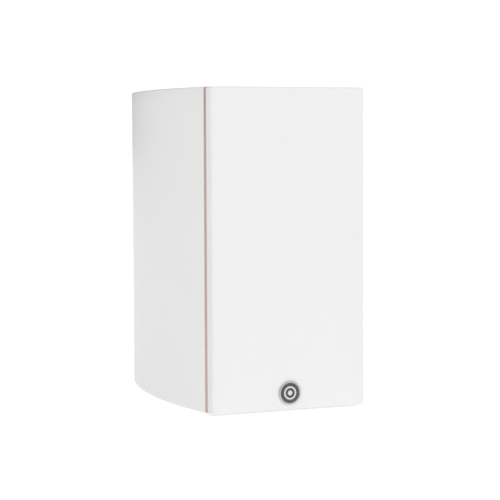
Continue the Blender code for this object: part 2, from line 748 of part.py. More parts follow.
def woofer_dust_cap(frame, paper):
    """The shallow cap in the middle of the cone."""
    lip_inner = SURROUND_INNER - 0.6 * MM
    slope = (CONE_NECK_DEPTH - SURROUND_SEAT) / (lip_inner - COIL_RADIUS - CLEARANCE)
    base = SURROUND_SEAT + slope * (lip_inner - CAP_RADIUS) - 2 * CLEARANCE
    profile = dome_profile(CAP_RADIUS, CAP_HEIGHT, base, CONE_THICKNESS, 4)
    cap = turned(profile, MEDIUM_ROUND, closed=False)
    add_object("woofer_dust_cap", cap, paper, parent=frame)


def woofer_spider(frame, cotton):
    """The corrugated disc that centres the voice coil."""
    wall = 0.6 * MM
    middle = SPIDER_LEDGE - CLEARANCE - wall
    wave = 0.9 * MM
    first = COIL_RADIUS + 1.6 * MM
    waves = 3
    last = 30.0 * MM
    steps = waves * 2
    front = [(COIL_RADIUS + CLEARANCE, middle)]
    for step in range(steps + 1):
        radius = first + (last - first) * step / steps
        front.append((radius, middle - wave * math.cos(math.pi * step)))
    front.append((SPIDER_OUTER, middle))
    back = [(radius, along + wall) for radius, along in reversed(front)]
    add_object("woofer_spider", turned(front + back, LARGE_ROUND - 4), cotton, parent=frame)


def woofer_voice_coil(frame, copper):
    """The former and the winding on its rear end, which hangs in the magnet's gap."""
    inner = COIL_RADIUS - COIL_WALL
    start = CONE_NECK_DEPTH - 1.0 * MM
    winding_start = BASKET_END - 0.2 * MM
    end = winding_start + 10 * MM
    outer = COIL_RADIUS + WINDING
    profile = [
        (inner, start),
        (COIL_RADIUS, start),
        (COIL_RADIUS, winding_start),
        (outer, winding_start),
        (outer, end),
        (inner, end),
    ]
    add_object("woofer_voice_coil", turned(profile, MEDIUM_ROUND), copper, parent=frame)


def tube_profile(inner, outer, front, back):
    return [(inner, front), (outer, front), (outer, back), (inner, back)]


def yoke_profile(vent, pole, plate_radius, front, plate_front, plate_back):
    """A pole piece and its back plate in one, with a vent through both."""
    return [
        (vent, front),
        (pole, front),
        (pole, plate_front),
        (plate_radius, plate_front),
        (plate_radius, plate_back),
        (vent, plate_back),
    ]


def woofer_motor(frame, steel, ferrite):
    """Top plate, ring magnet and yoke, stacked behind the basket."""
    plate_front = BASKET_END + CLEARANCE
    plate_back = plate_front + 5 * MM
    magnet_front = plate_back + CLEARANCE
    magnet_back = magnet_front + 15 * MM
    yoke_front = magnet_back + CLEARANCE
    gap_outer = COIL_RADIUS + WINDING + MAGNET_GAP
    pole = COIL_RADIUS - COIL_WALL - MAGNET_GAP / 2
    top = tube_profile(gap_outer, 36 * MM, plate_front, plate_back)
    ring = tube_profile(19 * MM, 40 * MM, magnet_front, magnet_back)
    yoke = yoke_profile(4 * MM, pole, 36 * MM, plate_front, yoke_front, yoke_front + 5 * MM)
    add_object("woofer_top_plate", turned(top, MEDIUM_ROUND + 2), steel, parent=frame)
    add_object("woofer_magnet", turned(ring, LARGE_ROUND), ferrite, parent=frame)
    add_object("woofer_yoke", turned(yoke, MEDIUM_ROUND + 2), steel, parent=frame)


def woofer_gasket(frame, foam):
    """The foam ring between the flange and the baffle."""
    front = WOOFER_FLANGE + CLEARANCE
    inner = WOOFER_BODY_RADIUS + 1.5 * MM
    profile = tube_profile(inner, WOOFER_RADIUS - 0.5 * MM, front, front + WOOFER_GASKET)
    gasket = add_object("woofer_gasket", turned(profile, LARGE_ROUND), foam, parent=frame)
    holes = rods(WOOFER_SCREW_PLACES, SCREW_RADIUS + CLEARANCE, front - SPARE, front + WOOFER_GASKET + SPARE)
    cut(gasket, add_object("gasket_screw_cutter", holes, parent=frame))


TWEETER_COIL_RADIUS = 12.9 * MM
TWEETER_LIP = TWEETER_FLANGE + CLEARANCE


def tweeter_faceplate(frame, plastic):
    """The front plate, dished towards the dome."""
    mouth = 18.2 * MM
    profile = [
        (TWEETER_RADIUS, 0),
        (27.0 * MM, 0),
        (22.5 * MM, 0.8 * MM),
        (19.6 * MM, 2.0 * MM),
        (mouth, TWEETER_FLANGE),
        (TWEETER_RADIUS, TWEETER_FLANGE),
    ]
    face = add_object("tweeter_faceplate", turned(profile, LARGE_ROUND), plastic, parent=frame)
    holes = rods(TWEETER_SCREW_PLACES, SCREW_RADIUS + CLEARANCE, -SPARE, TWEETER_FLANGE + SPARE)
    cut(face, add_object("faceplate_screw_cutter", holes, parent=frame))


def tweeter_surround(frame, fabric):
    """The dome's small half-roll, held between the faceplate and the top plate."""
    wall = 0.5 * MM
    roll = 1.9 * MM
    inner = TWEETER_COIL_RADIUS + CLEARANCE
    middle = inner + roll
    back = TWEETER_LIP + wall
    lean = math.degrees(math.asin(wall / roll))
    profile = [(21 * MM, back), (21 * MM, TWEETER_LIP)]
    profile += arc((middle, back), roll, -lean, -180, 4)
    profile += arc((middle, back), roll - wall, -180, 0, 4)
    add_object("tweeter_surround", turned(profile, MEDIUM_ROUND), fabric, parent=frame)


def tweeter_dome(frame, fabric):
    """The soft dome."""
    profile = dome_profile(TWEETER_COIL_RADIUS, 5 * MM, TWEETER_LIP + 0.4 * MM, 0.4 * MM, 4)
    add_object("tweeter_dome", turned(profile, MEDIUM_ROUND, closed=False), fabric, parent=frame)


def tweeter_voice_coil(frame, copper):
    """The coil under the dome's edge."""
    front = TWEETER_LIP + 0.4 * MM + CLEARANCE
    inner = TWEETER_COIL_RADIUS - 0.6 * MM
    profile = tube_profile(inner, TWEETER_COIL_RADIUS, front, front + 6.5 * MM)
    add_object("tweeter_voice_coil", turned(profile, MEDIUM_ROUND), copper, parent=frame)


def tweeter_motor(frame, steel, ferrite, plastic):
    """Top plate, magnet, yoke and the chamber behind them."""
    plate_front = TWEETER_LIP + 0.5 * MM + CLEARANCE
    plate_back = plate_front + 3 * MM
    magnet_front = plate_back + CLEARANCE
    magnet_back = magnet_front + 8 * MM
    yoke_front = magnet_back + CLEARANCE
    yoke_back = yoke_front + 3.5 * MM
    gap_outer = TWEETER_COIL_RADIUS + 0.5 * MM
    pole = TWEETER_COIL_RADIUS - 1.1 * MM
    vent = 3 * MM
    top = tube_profile(gap_outer, 24 * MM, plate_front, plate_back)
    ring = tube_profile(15.5 * MM, TWEETER_BODY_RADIUS - 1 * MM, magnet_front, magnet_back)
    yoke = yoke_profile(vent, pole, 25 * MM, plate_front, yoke_front, yoke_back)
    add_object("tweeter_top_plate", turned(top, MEDIUM_ROUND), steel, parent=frame)
    add_object("tweeter_magnet", turned(ring, MEDIUM_ROUND + 2), ferrite, parent=frame)
    add_object("tweeter_yoke", turned(yoke, MEDIUM_ROUND), steel, parent=frame)
    cup_front = yoke_back + CLEARANCE
    cup_back = cup_front + 14 * MM
    cup_radius = 19 * MM
    wall = 1.8 * MM
    cup = [
        (0, cup_back),
        (cup_radius, cup_back),
        (cup_radius, cup_front),
        (cup_radius - wall, cup_front),
        (cup_radius - wall, cup_back - wall),
        (0, cup_back - wall),
    ]
    chamber = turned(cup, MEDIUM_ROUND - 2, closed=False)
    add_object("tweeter_rear_chamber", chamber, plastic, parent=frame)


# ======================================================================================
# Terminals and crossover. Y zero is the rear panel's outer face, and +Y is outward.
# ======================================================================================


def terminal_cup(frame, plastic):
    """The terminal plate with its sunk pocket."""
    cup = add_object(
        "terminal_cup", plate(*TERMINAL_PLATE, 6 * MM, CLEARANCE, REAR_PROUD), plastic, parent=frame
    )
    back = -POCKET_DEPTH - POCKET_FLOOR
    body = plate(*POCKET_OUTER, 5 * MM, back, REAR_PROUD / 2)
    join(cup, add_object("pocket_filler", body, parent=frame))
    pocket = plate(*POCKET_SIZE, 4 * MM, -POCKET_DEPTH, REAR_PROUD + SPARE)
    cut(cup, add_object("pocket_cutter", pocket, parent=frame))
    holes = rods(post_places(), STUD_TAIL_RADIUS + CLEARANCE, back - SPARE, SPARE - POCKET_DEPTH)
    cut(cup, add_object("stud_cutter", holes, parent=frame))


def post_places():
    """The two binding posts, (x, z) from the terminal plate's centre, left one first."""
    return [(-POST_SPACING / 2, 0), (POST_SPACING / 2, 0)]


def binding_post(colour_name, place, frame, brass, insulator):
    """One post: a fixed stud, a clamping washer that slides on it and a knob that screws on it."""
    x, z = place
    post = add_empty(f"{colour_name}_post_axis", (x, -POCKET_DEPTH, z))
    post.parent = frame
    washer_start = POST_BASE_HEIGHT + CLEARANCE
    knob_start = washer_start + WASHER_THICKNESS + CLEARANCE
    knob_end = knob_start + KNOB_LENGTH
    stud_end = knob_end - STUD_SET_BACK
    bore_floor = stud_end - SOCKET_BORE_DEPTH
    stud = [
        (0, -STUD_TAIL),
        (STUD_TAIL_RADIUS, -STUD_TAIL),
        (STUD_TAIL_RADIUS, CLEARANCE),
        (POST_BASE_RADIUS, CLEARANCE),
        (POST_BASE_RADIUS, POST_BASE_HEIGHT),
        (STUD_RADIUS, POST_BASE_HEIGHT),
        (STUD_RADIUS, stud_end),
        (SOCKET_BORE, stud_end),
        (SOCKET_BORE, bore_floor),
        (0, bore_floor),
    ]
    hole = STUD_RADIUS + CLEARANCE
    washer_radius = KNOB_RADIUS - WASHER_SET_BACK
    washer = tube_profile(hole, washer_radius, washer_start, washer_start + WASHER_THICKNESS)
    edge = 0.8 * MM
    waist = KNOB_RADIUS - 0.6 * MM
    knob = [
        (hole, knob_start),
        (KNOB_RADIUS, knob_start),
        (KNOB_RADIUS, knob_start + 2.4 * MM),
        (waist, knob_start + 3.2 * MM),
        (waist, knob_end - edge),
        (waist - edge, knob_end),
        (hole, knob_end),
    ]
    add_object(f"{colour_name}_post_stud", turned(stud, SMALL_ROUND + 2, closed=False), brass, parent=post)
    add_object(f"{colour_name}_post_washer", turned(washer, SMALL_ROUND + 2), brass, parent=post)
    add_object(f"{colour_name}_post_knob", turned(knob, SMALL_ROUND + 4), insulator, parent=post)


def crossover(frame, board_green, copper, film, ceramic):
    """The filter board, carried on the studs' tails, and its components on the side facing forward."""
    board = add_object(
        "crossover_board",
        plate(*BOARD_SIZE, 2 * MM, BOARD_FACE, BOARD_FACE + BOARD_THICKNESS),
        board_green,
        parent=frame,
    )
    holes = rods(
        post_places(), STUD_TAIL_RADIUS + CLEARANCE, BOARD_FACE - SPARE,
        BOARD_FACE + BOARD_THICKNESS + SPARE,
    )
    cut(board, add_object("board_cutter", holes, parent=frame))
    seat = BOARD_FACE - CLEARANCE
    coils = (
        ("woofer_inductor", WOOFER_COIL_SIZE, (0, -22 * MM)),
        ("tweeter_inductor", TWEETER_COIL_SIZE, (-13 * MM, 22 * MM)),
    )
    for name, (radius, length), (x, z) in coils:
        core = radius * 0.4
        cheek = 1.5 * MM
        inner = radius - 1.5 * MM
        profile = [
            (core, 0),
            (radius, 0),
            (radius, cheek),
            (inner, cheek),
            (inner, length - cheek),
            (radius, length - cheek),
            (radius, length),
            (core, length),
        ]
        coil = turned(profile, MEDIUM_ROUND - 4)
        add_object(name, coil, copper, (x, seat - length, z), frame)
    radius, length = CAPACITOR_SIZE
    edge = 0.8 * MM
    can = [(0, 0), (radius - edge, 0), (radius, edge), (radius, length - edge), (radius - edge, length), (0, length)]
    body = turned(can, SMALL_ROUND + 2, "Z", closed=False)
    place = (8 * MM, seat - radius, 8 * MM)
    add_object("tweeter_capacitor", body, film, place, frame)
    block = plate(RESISTOR_SIDE, RESISTOR_LENGTH, 0.8 * MM, seat - RESISTOR_SIDE, seat, (20 * MM, 23 * MM))
    add_object("tweeter_resistor", block, ceramic, parent=frame)


# ======================================================================================
# Internal leads, each a twin lead drawn as one round cable
# ======================================================================================


def catmull_rom(points, count):
    """Evenly stepped points on a smooth curve through the given ones."""
    padded = [2 * points[0] - points[1], *points, 2 * points[-1] - points[-2]]
    spans = len(points) - 1
    found = []
    for step in range(count):
        place = spans * step / (count - 1)
        span = min(int(place), spans - 1)
        t = place - span
        a, b, c, d = padded[span : span + 4]
        found.append(
            0.5 * (2 * b + (c - a) * t + (2 * a - 5 * b + 4 * c - d) * t**2
                   + (3 * b - a - 3 * c + d) * t**3)
        )
    return found


def lead(name, route, jacket):
    """A cable along a smooth curve through its route's points."""
    line = catmull_rom([Vector(point) for point in route], LEAD_POINTS)
    curve = bpy.data.curves.new(name, "CURVE")
    curve.dimensions = "3D"
    curve.bevel_depth = LEAD_RADIUS
    curve.bevel_resolution = 1
    curve.use_fill_caps = True
    spline = curve.splines.new("POLY")
    spline.points.add(len(line) - 1)
    for point, place in zip(spline.points, line):
        point.co = (*place, 1.0)
    curve.materials.append(jacket)
    made = bpy.data.objects.new(name, curve)
    bpy.context.scene.collection.objects.link(made)


def leads(jacket):
    """The two leads from the board: each goes out to the side wall, forward, and in to its driver."""
    board = at_depth(CABINET_DEPTH) + BOARD_FACE - LEAD_RADIUS
    board_x = -BOARD_SIZE[0] / 2 + 4 * MM
    terminal = BOTTOM + TERMINAL_HEIGHT
    woofer = BOTTOM + WOOFER_HEIGHT
    tweeter = BOTTOM + TWEETER_HEIGHT
    front = at_depth(BODY_FRONT)
    wall_x = -(half_width((WADDING_START + WADDING_END) / 2, SIDE_WALL) - 8 * MM)
    woofer_route = [
        (board_x, board, terminal - 2 * MM),
        (board_x - 6 * MM, board - 10 * MM, terminal - 2 * MM),
        (wall_x + 20 * MM, board - 26 * MM, terminal - 8 * MM),
        (wall_x, at_depth(WADDING_END), terminal - 10 * MM),
        (wall_x, at_depth(WADDING_START), woofer - 24 * MM),
        (wall_x + 6 * MM, front + 42 * MM, woofer - 12 * MM),
        (lug_centre() - 3 * MM, front + LUG_DEPTH + 8 * MM, woofer - 1 * MM),
        (lug_centre(), front + LUG_DEPTH + LUG_THICKNESS + CLEARANCE + LEAD_RADIUS, woofer),
    ]
    tweeter_route = [
        (board_x, board, terminal + 2 * MM + 4 * LEAD_RADIUS),
        (board_x - 6 * MM, board - 10 * MM, terminal + 12 * MM),
        (wall_x + 20 * MM, board - 24 * MM, terminal + 24 * MM),
        (wall_x, at_depth(WADDING_END), terminal + 50 * MM),
        (wall_x, at_depth(WADDING_START), tweeter - 40 * MM),
        (wall_x + 18 * MM, front + 52 * MM, tweeter - 14 * MM),
        (-34 * MM, front + 34 * MM, tweeter - 2 * MM),
        (-21 * MM, front + 28 * MM, tweeter),
    ]
    lead("woofer_lead", woofer_route, jacket)
    lead("tweeter_lead", tweeter_route, jacket)


# ======================================================================================
# Assembly
# ======================================================================================


def build():
    white_lacquer = finish_material("white_lacquer", (0.86, 0.86, 0.85), 0.35)
    white_cloth = finish_material("white_cloth", (0.84, 0.84, 0.84), 0.95)
    white_plastic = finish_material("white_plastic", (0.80, 0.80, 0.80), 0.5)
    black_plastic = finish_material("black_plastic", (0.02, 0.02, 0.02), 0.45)
    copper_ring = finish_material("copper_ring", (0.42, 0.20, 0.15), 0.35, 0.9)
    bright_metal = finish_material("bright_metal", (0.75, 0.75, 0.76), 0.2, 1.0)
    dark_enamel = finish_material("dark_enamel", (0.05, 0.05, 0.055), 0.3)
    black_rubber = finish_material("black_rubber", (0.015, 0.015, 0.015), 0.8)
    cast_alloy = finish_material("cast_alloy", (0.06, 0.06, 0.065), 0.5, 0.4)
    black_paper = finish_material("black_paper", (0.03, 0.03, 0.03), 0.75)
    spider_cotton = finish_material("spider_cotton", (0.55, 0.33, 0.12), 0.9)
    winding_copper = finish_material("winding_copper", (0.72, 0.32, 0.16), 0.35, 1.0)
    plated_steel = finish_material("plated_steel", (0.55, 0.55, 0.56), 0.35, 1.0)
    ferrite = finish_material("ferrite", (0.04, 0.04, 0.045), 0.6)
    black_steel = finish_material("black_steel", (0.03, 0.03, 0.03), 0.35, 0.8)
    dome_silk = finish_material("dome_silk", (0.025, 0.025, 0.028), 0.6)
    gold_brass = finish_material("gold_brass", (0.80, 0.60, 0.28), 0.25, 1.0)
    red_plastic = finish_material("red_plastic", (0.45, 0.02, 0.02), 0.3)
    board_green = finish_material("board_green", (0.03, 0.16, 0.07), 0.5)
    film_yellow = finish_material("film_yellow", (0.70, 0.45, 0.05), 0.4)
    white_ceramic = finish_material("white_ceramic", (0.75, 0.74, 0.70), 0.7)
    cable_jacket = finish_material("cable_jacket", (0.10, 0.10, 0.11), 0.5)
    white_fibre = finish_material("white_fibre", (0.78, 0.78, 0.76), 1.0)

    side_panel("side_panel_left", -1, white_lacquer)
    side_panel("side_panel_right", 1, white_lacquer)
    end_panel("top_panel", TOP - TOP_WALL, white_lacquer)
    end_panel("bottom_panel", BOTTOM, white_lacquer)
    front_baffle(white_lacquer)
    rear_panel(white_lacquer)
    accent_ring(copper_ring)
    feet(black_rubber)
    port_tube(black_plastic)
    wadding(white_fibre)

    grille_frame(white_plastic)
    grille_cloth(white_cloth)
    badge(bright_metal, dark_enamel)
    grille_sockets(black_rubber)

    face = at_depth(BODY_FRONT)
    woofer = add_empty("woofer_axis", (0, face, BOTTOM + WOOFER_HEIGHT))
    woofer_basket(woofer, cast_alloy)
    woofer_gasket(woofer, black_rubber)
    woofer_surround(woofer, black_rubber)
    woofer_cone(woofer, black_paper)
    woofer_dust_cap(woofer, black_paper)
    woofer_spider(woofer, spider_cotton)
    woofer_voice_coil(woofer, winding_copper)
    woofer_motor(woofer, plated_steel, ferrite)
    driver_screws("woofer", WOOFER_SCREW_PLACES, woofer, black_steel)

    tweeter = add_empty("tweeter_axis", (0, face, BOTTOM + TWEETER_HEIGHT))
    tweeter_faceplate(tweeter, black_plastic)
    tweeter_surround(tweeter, dome_silk)
    tweeter_dome(tweeter, dome_silk)
    tweeter_voice_coil(tweeter, winding_copper)
    tweeter_motor(tweeter, plated_steel, ferrite, black_plastic)
    driver_screws("tweeter", TWEETER_SCREW_PLACES, tweeter, black_steel)

    terminals = add_empty("terminal_axis", (0, at_depth(CABINET_DEPTH), BOTTOM + TERMINAL_HEIGHT))
    terminal_cup(terminals, black_plastic)
    left_post, right_post = post_places()
    binding_post("black", right_post, terminals, gold_brass, black_plastic)
    binding_post("red", left_post, terminals, gold_brass, red_plastic)
    crossover(terminals, board_green, winding_copper, film_yellow, white_ceramic)
    leads(cable_jacket)


clear_scene()
build()
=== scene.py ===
"""The looks of a two-way bookshelf speaker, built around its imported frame.

Lengths are in metres. X runs across the front, Y from the front to the rear
and Z upwards. "Depth" is measured from the front of the grille cloth.
"""

import json
import logging
import math
from collections.abc import Sequence
from dataclasses import dataclass
from enum import Enum
from typing import Any

import bmesh
import bpy
import numpy as np
from mathutils import Matrix, Vector


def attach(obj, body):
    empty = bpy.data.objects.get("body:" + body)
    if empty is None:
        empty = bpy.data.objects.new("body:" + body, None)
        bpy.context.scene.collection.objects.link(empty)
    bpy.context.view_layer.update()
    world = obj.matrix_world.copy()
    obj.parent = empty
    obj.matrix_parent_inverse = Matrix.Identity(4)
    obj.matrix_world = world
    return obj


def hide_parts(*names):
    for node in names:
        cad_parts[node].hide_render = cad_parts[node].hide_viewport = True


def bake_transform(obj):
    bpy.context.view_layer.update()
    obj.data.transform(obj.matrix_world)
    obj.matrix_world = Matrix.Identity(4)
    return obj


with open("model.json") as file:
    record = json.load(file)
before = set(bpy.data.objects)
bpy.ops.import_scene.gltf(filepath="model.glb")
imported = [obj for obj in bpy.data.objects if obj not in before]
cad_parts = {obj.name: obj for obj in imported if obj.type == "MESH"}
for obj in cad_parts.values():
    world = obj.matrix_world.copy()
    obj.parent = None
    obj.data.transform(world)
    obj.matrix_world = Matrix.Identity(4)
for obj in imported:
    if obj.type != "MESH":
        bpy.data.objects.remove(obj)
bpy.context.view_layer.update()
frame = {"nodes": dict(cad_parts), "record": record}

LOG = logging.getLogger("speaker")
MM = 0.001
Colour = tuple[float, float, float]
Row = tuple[float, ...]

# Where the main parts lie.
REAR_FACE = 124.45 * MM
BAFFLE_FACE = -113.05 * MM
BADGE_Z = 17.2 * MM
TERMINAL_Z = 77 * MM
WOOFER_Z = 94 * MM
PORT_Z = 207 * MM
TWEETER_Z = 210 * MM
POST_X = 9.525 * MM
POSTS = ((-POST_X, TERMINAL_Z), (POST_X, TERMINAL_Z))
WOOFER_SCREW_CIRCLE = 56.3 * MM
TWEETER_SCREW_CIRCLE = 40.3 * MM

# Edges sharper than this many degrees are shaded sharp.
CREASE = 38.0

# Points nearer to each other than this are made one.
WELD = 0.002 * MM

# What every finish shares: its slow patches per metre, and how rough its coat
# and its sheen are.
SLOW_PATCHES = 22.0
COAT_ROUGHNESS = 0.08
SHEEN_ROUGHNESS = 0.5


# ----- Shader maths -----


class Signal:
    """A shader socket that takes part in Python arithmetic."""

    def __init__(self, graph: "Graph", socket: bpy.types.NodeSocket) -> None:
        """Keep the socket and the graph that it belongs to."""
        self.graph = graph
        self.socket = socket

    def maths(self, operation: str, *values: "Signal | float") -> "Signal":
        """Add one Math node.

        Args:
            operation: The node's operation.
            values: Its inputs, in order.

        Returns:
            The node's result.
        """
        return self.graph.node("ShaderNodeMath", {"operation": operation}, dict(enumerate(values)))

    def __add__(self, other: "Signal | float") -> "Signal":
        """Return the sum."""
        return self.maths("ADD", self, other)

    __radd__ = __add__

    def __sub__(self, other: "Signal | float") -> "Signal":
        """Return the difference."""
        return self.maths("SUBTRACT", self, other)

    def __rsub__(self, other: "Signal | float") -> "Signal":
        """Return the reversed difference."""
        return self.maths("SUBTRACT", other, self)

    def __mul__(self, other: "Signal | float") -> "Signal":
        """Return the product."""
        return self.maths("MULTIPLY", self, other)

    __rmul__ = __mul__

    def __gt__(self, other: "Signal | float") -> "Signal":
        """Return 1 where this is the greater, else 0."""
        return self.maths("GREATER_THAN", self, other)

    def __abs__(self) -> "Signal":
        """Return the absolute value."""
        return self.maths("ABSOLUTE", self)

    def sine(self) -> "Signal":
        """Return the sine."""
        return self.maths("SINE", self)


class Graph:
    """The node tree of one material or world."""

    def __init__(self, tree: bpy.types.NodeTree) -> None:
        """Start from an empty tree."""
        self.tree = tree
        tree.nodes.clear()

    def node(
        self,
        kind: str,
        settings: dict[str, Any] | None = None,
        inputs: dict[Any, Any] | None = None,
        output: int | str = 0,
    ) -> Signal:
        """Add any node.

        Args:
            kind: The node's type.
            settings: Its own settings, set before its inputs.
            inputs: Values or signals for its sockets.
            output: Which output to return.

        Returns:
            The chosen output.
        """
        made = self.tree.nodes.new(kind)
        for key, value in (settings or {}).items():
            setattr(made, key, value)
        for key, value in (inputs or {}).items():
            if isinstance(value, Signal):
                self.tree.links.new(value.socket, made.inputs[key])
            else:
                made.inputs[key].default_value = value
        return Signal(self, made.outputs[output] if made.outputs else None)

    def mix(self, share: Signal, first: Any, second: Any) -> Signal:
        """Mix two colours.

        Args:
            share: How much of the second shows, from 0 to 1.
            first: A colour or a signal.
            second: A colour or a signal.

        Returns:
            The mixed colour.
        """
        ends = [value if isinstance(value, Signal) else (*value, 1.0) for value in (first, second)]
        settings = {"data_type": "RGBA"}
        return self.node("ShaderNodeMix", settings, {0: share, 6: ends[0], 7: ends[1]}, 2)

    def place(self, source: str, centre: Row = (0, 0, 0), scale: Row = (1, 1, 1)) -> Signal:
        """Coordinates that start at a centre.

        Args:
            source: "Object" or "UV".
            centre: The pattern's own origin.
            scale: How much each axis is multiplied by.

        Returns:
            The vector (source - centre) * scale.
        """
        vector = self.node("ShaderNodeTexCoord", output=source)
        shift = tuple(-c * s for c, s in zip(centre, scale))
        return self.node(
            "ShaderNodeMapping", {}, {"Vector": vector, "Location": shift, "Scale": scale}
        )

    def split(self, vector: Signal) -> tuple[Signal, Signal, Signal]:
        """Take a vector apart.

        Args:
            vector: The vector.

        Returns:
            Its x, y and z.
        """
        x = self.node("ShaderNodeSeparateXYZ", {}, {0: vector})
        node = x.socket.node
        return x, Signal(self, node.outputs[1]), Signal(self, node.outputs[2])

    def noise(self, vector: Signal, scale: float, detail: float = 2.0, bend: float = 0.0) -> Signal:
        """Smooth noise.

        Args:
            vector: Where it is read.
            scale: Features per unit.
            detail: How many finer layers it has.
            bend: How much it distorts itself.

        Returns:
            A value from 0 to 1.
        """
        inputs = {"Vector": vector, "Scale": scale, "Detail": detail, "Distortion": bend}
        return self.node("ShaderNodeTexNoise", {}, inputs)

    def stretch(self, value: Signal, low: float, high: float) -> Signal:
        """Ease a value from 0 at low to 1 at high: 3 t squared - 2 t cubed."""
        settings = {"interpolation_type": "SMOOTHSTEP"}
        return self.node("ShaderNodeMapRange", settings, {0: value, 1: low, 2: high})


class Grain(Enum):
    """The kinds of fine pattern that a finish may have."""

    SPECKLE = "speckle"
    ORANGE_PEEL = "orange peel"
    BRUSHED = "brushed"
    TURNED = "turned"
    FIBRE = "fibre"
    WOVEN = "woven"
    WOUND = "wound"
    TRACKS = "tracks"


@dataclass(frozen=True)
class Finish:
    """A finish whose grain drives its colour, roughness and relief.

    The grain is a height from 0 to 1. Colour runs from dark to light with it,
    and slow patches of tone lie over both. Where the grain is woven or wound,
    the dark end in the hollows between threads and turns is painted shade.
    """

    name: str
    dark: Colour
    light: Colour
    grain: Grain
    pitch: float
    relief: float
    rough: tuple[float, float]
    metallic: float = 0.0
    coat: float = 0.0
    sheen: float = 0.0
    specular: float = 0.5
    centre: Row = (0.0, 0.0, 0.0)
    along: int = 2
    patches: float = 0.25

    def height(self, graph: Graph) -> Signal:
        """The grain's height.

        Speckle and fibre are noise. Orange peel adds slow waves to fine ones.
        Brushed noise is drawn out along one axis. Turned noise depends only on
        the distance from the axis. Woven is two sets of half-round threads
        that pass over and under. Wound is half-round wire side by side. The
        hollows between threads and between turns come out dark: painted shade.

        Args:
            graph: The material's graph.

        Returns:
            A signal from 0 to about 1.
        """
        scale = 1.0 / self.pitch
        grain = self.grain
        if grain is Grain.WOVEN:
            # The gaps between the threads get the dark colour: painted shade.
            u, v, _ = graph.split(graph.place("UV", scale=(math.pi * scale,) * 3))
            over = (u.sine() * v.sine()) > 0.0
            return over * abs(u.sine()) + (1 - over) * abs(v.sine())
        if grain is Grain.TURNED:
            flat = graph.place(
                "Object", self.centre, tuple(float(i != self.along) for i in range(3))
            )
            radius = graph.node("ShaderNodeVectorMath", {"operation": "LENGTH"}, {0: flat}, 1)
            settings = {"noise_dimensions": "1D"}
            return graph.node(
                "ShaderNodeTexNoise", settings, {"W": radius * scale, "Scale": 1.0, "Detail": 3.0}
            )
        where = graph.place("Object", self.centre)
        if grain is Grain.WOUND:
            # The grooves between the turns get the dark colour: painted shade.
            return abs((graph.split(where)[self.along] * (math.pi * scale)).sine())
        if grain is Grain.BRUSHED:
            drawn = tuple(0.02 if i == self.along else 1.0 for i in range(3))
            return graph.noise(graph.place("Object", self.centre, drawn), scale, 4.0)
        if grain is Grain.TRACKS:
            turned = graph.node(
                "ShaderNodeMapping", {}, {"Vector": where, "Rotation": (math.pi / 2, 0, 0)}
            )
            settings = {"offset": 0.5, "squash": 0.6, "squash_frequency": 3}
            inputs = {"Vector": turned, "Scale": scale, "Mortar Size": 0.035}
            tracks = graph.node("ShaderNodeTexBrick", settings, inputs, 1)
            return graph.stretch(tracks, 0.0, 1.0)
        if grain is Grain.ORANGE_PEEL:
            return 0.65 * graph.noise(where, scale) + 0.35 * graph.noise(where, scale / 5)
        if grain is Grain.FIBRE:
            return graph.stretch(graph.noise(where, scale, 6.0, 2.5), 0.25, 0.75)
        return graph.stretch(graph.noise(where, scale, 3.0), 0.3, 0.7)

    def material(self) -> bpy.types.Material:
        """The finish as a material, made once.

        Returns:
            The material.
        """
        known = bpy.data.materials.get(self.name)
        if known:
            return known
        made = bpy.data.materials.new(self.name)
        made.use_nodes = True
        graph = Graph(made.node_tree)
        height = self.height(graph)
        slow = graph.noise(graph.place("Object"), SLOW_PATCHES)
        tone = (1 - self.patches) * height + self.patches * slow
        low, high = self.rough
        bump = graph.node(
            "ShaderNodeBump", {}, {"Strength": 1.0, "Distance": self.relief, "Height": height}
        )
        shader = graph.node(
            "ShaderNodeBsdfPrincipled",
            {},
            {
                "Base Color": graph.mix(tone, self.dark, self.light),
                "Roughness": low + (high - low) * tone,
                "Metallic": self.metallic,
                "Specular IOR Level": self.specular,
                "Coat Weight": self.coat,
                "Coat Roughness": COAT_ROUGHNESS,
                "Sheen Weight": self.sheen,
                "Sheen Roughness": SHEEN_ROUGHNESS,
                "Normal": bump,
            },
        )
        graph.node("ShaderNodeOutputMaterial", {}, {"Surface": shader})
        return made


RAW_BOARD = Finish(
    "bare_fibreboard", (0.28, 0.19, 0.11), (0.48, 0.36, 0.23), Grain.FIBRE, 0.8 * MM, 0.05 * MM,
    (0.8, 0.95)
)
BADGE_PRINT = Finish(
    "pale_badge_print", (0.62, 0.61, 0.60), (0.74, 0.73, 0.72), Grain.SPECKLE, 0.3 * MM, 0.003 * MM,
    (0.3, 0.4)
)
SOFT_RUBBER = Finish(
    "soft_black_rubber", (0.010, 0.010, 0.011), (0.024, 0.024, 0.026), Grain.SPECKLE, 0.5 * MM,
    0.012 * MM, (0.55, 0.72)
)

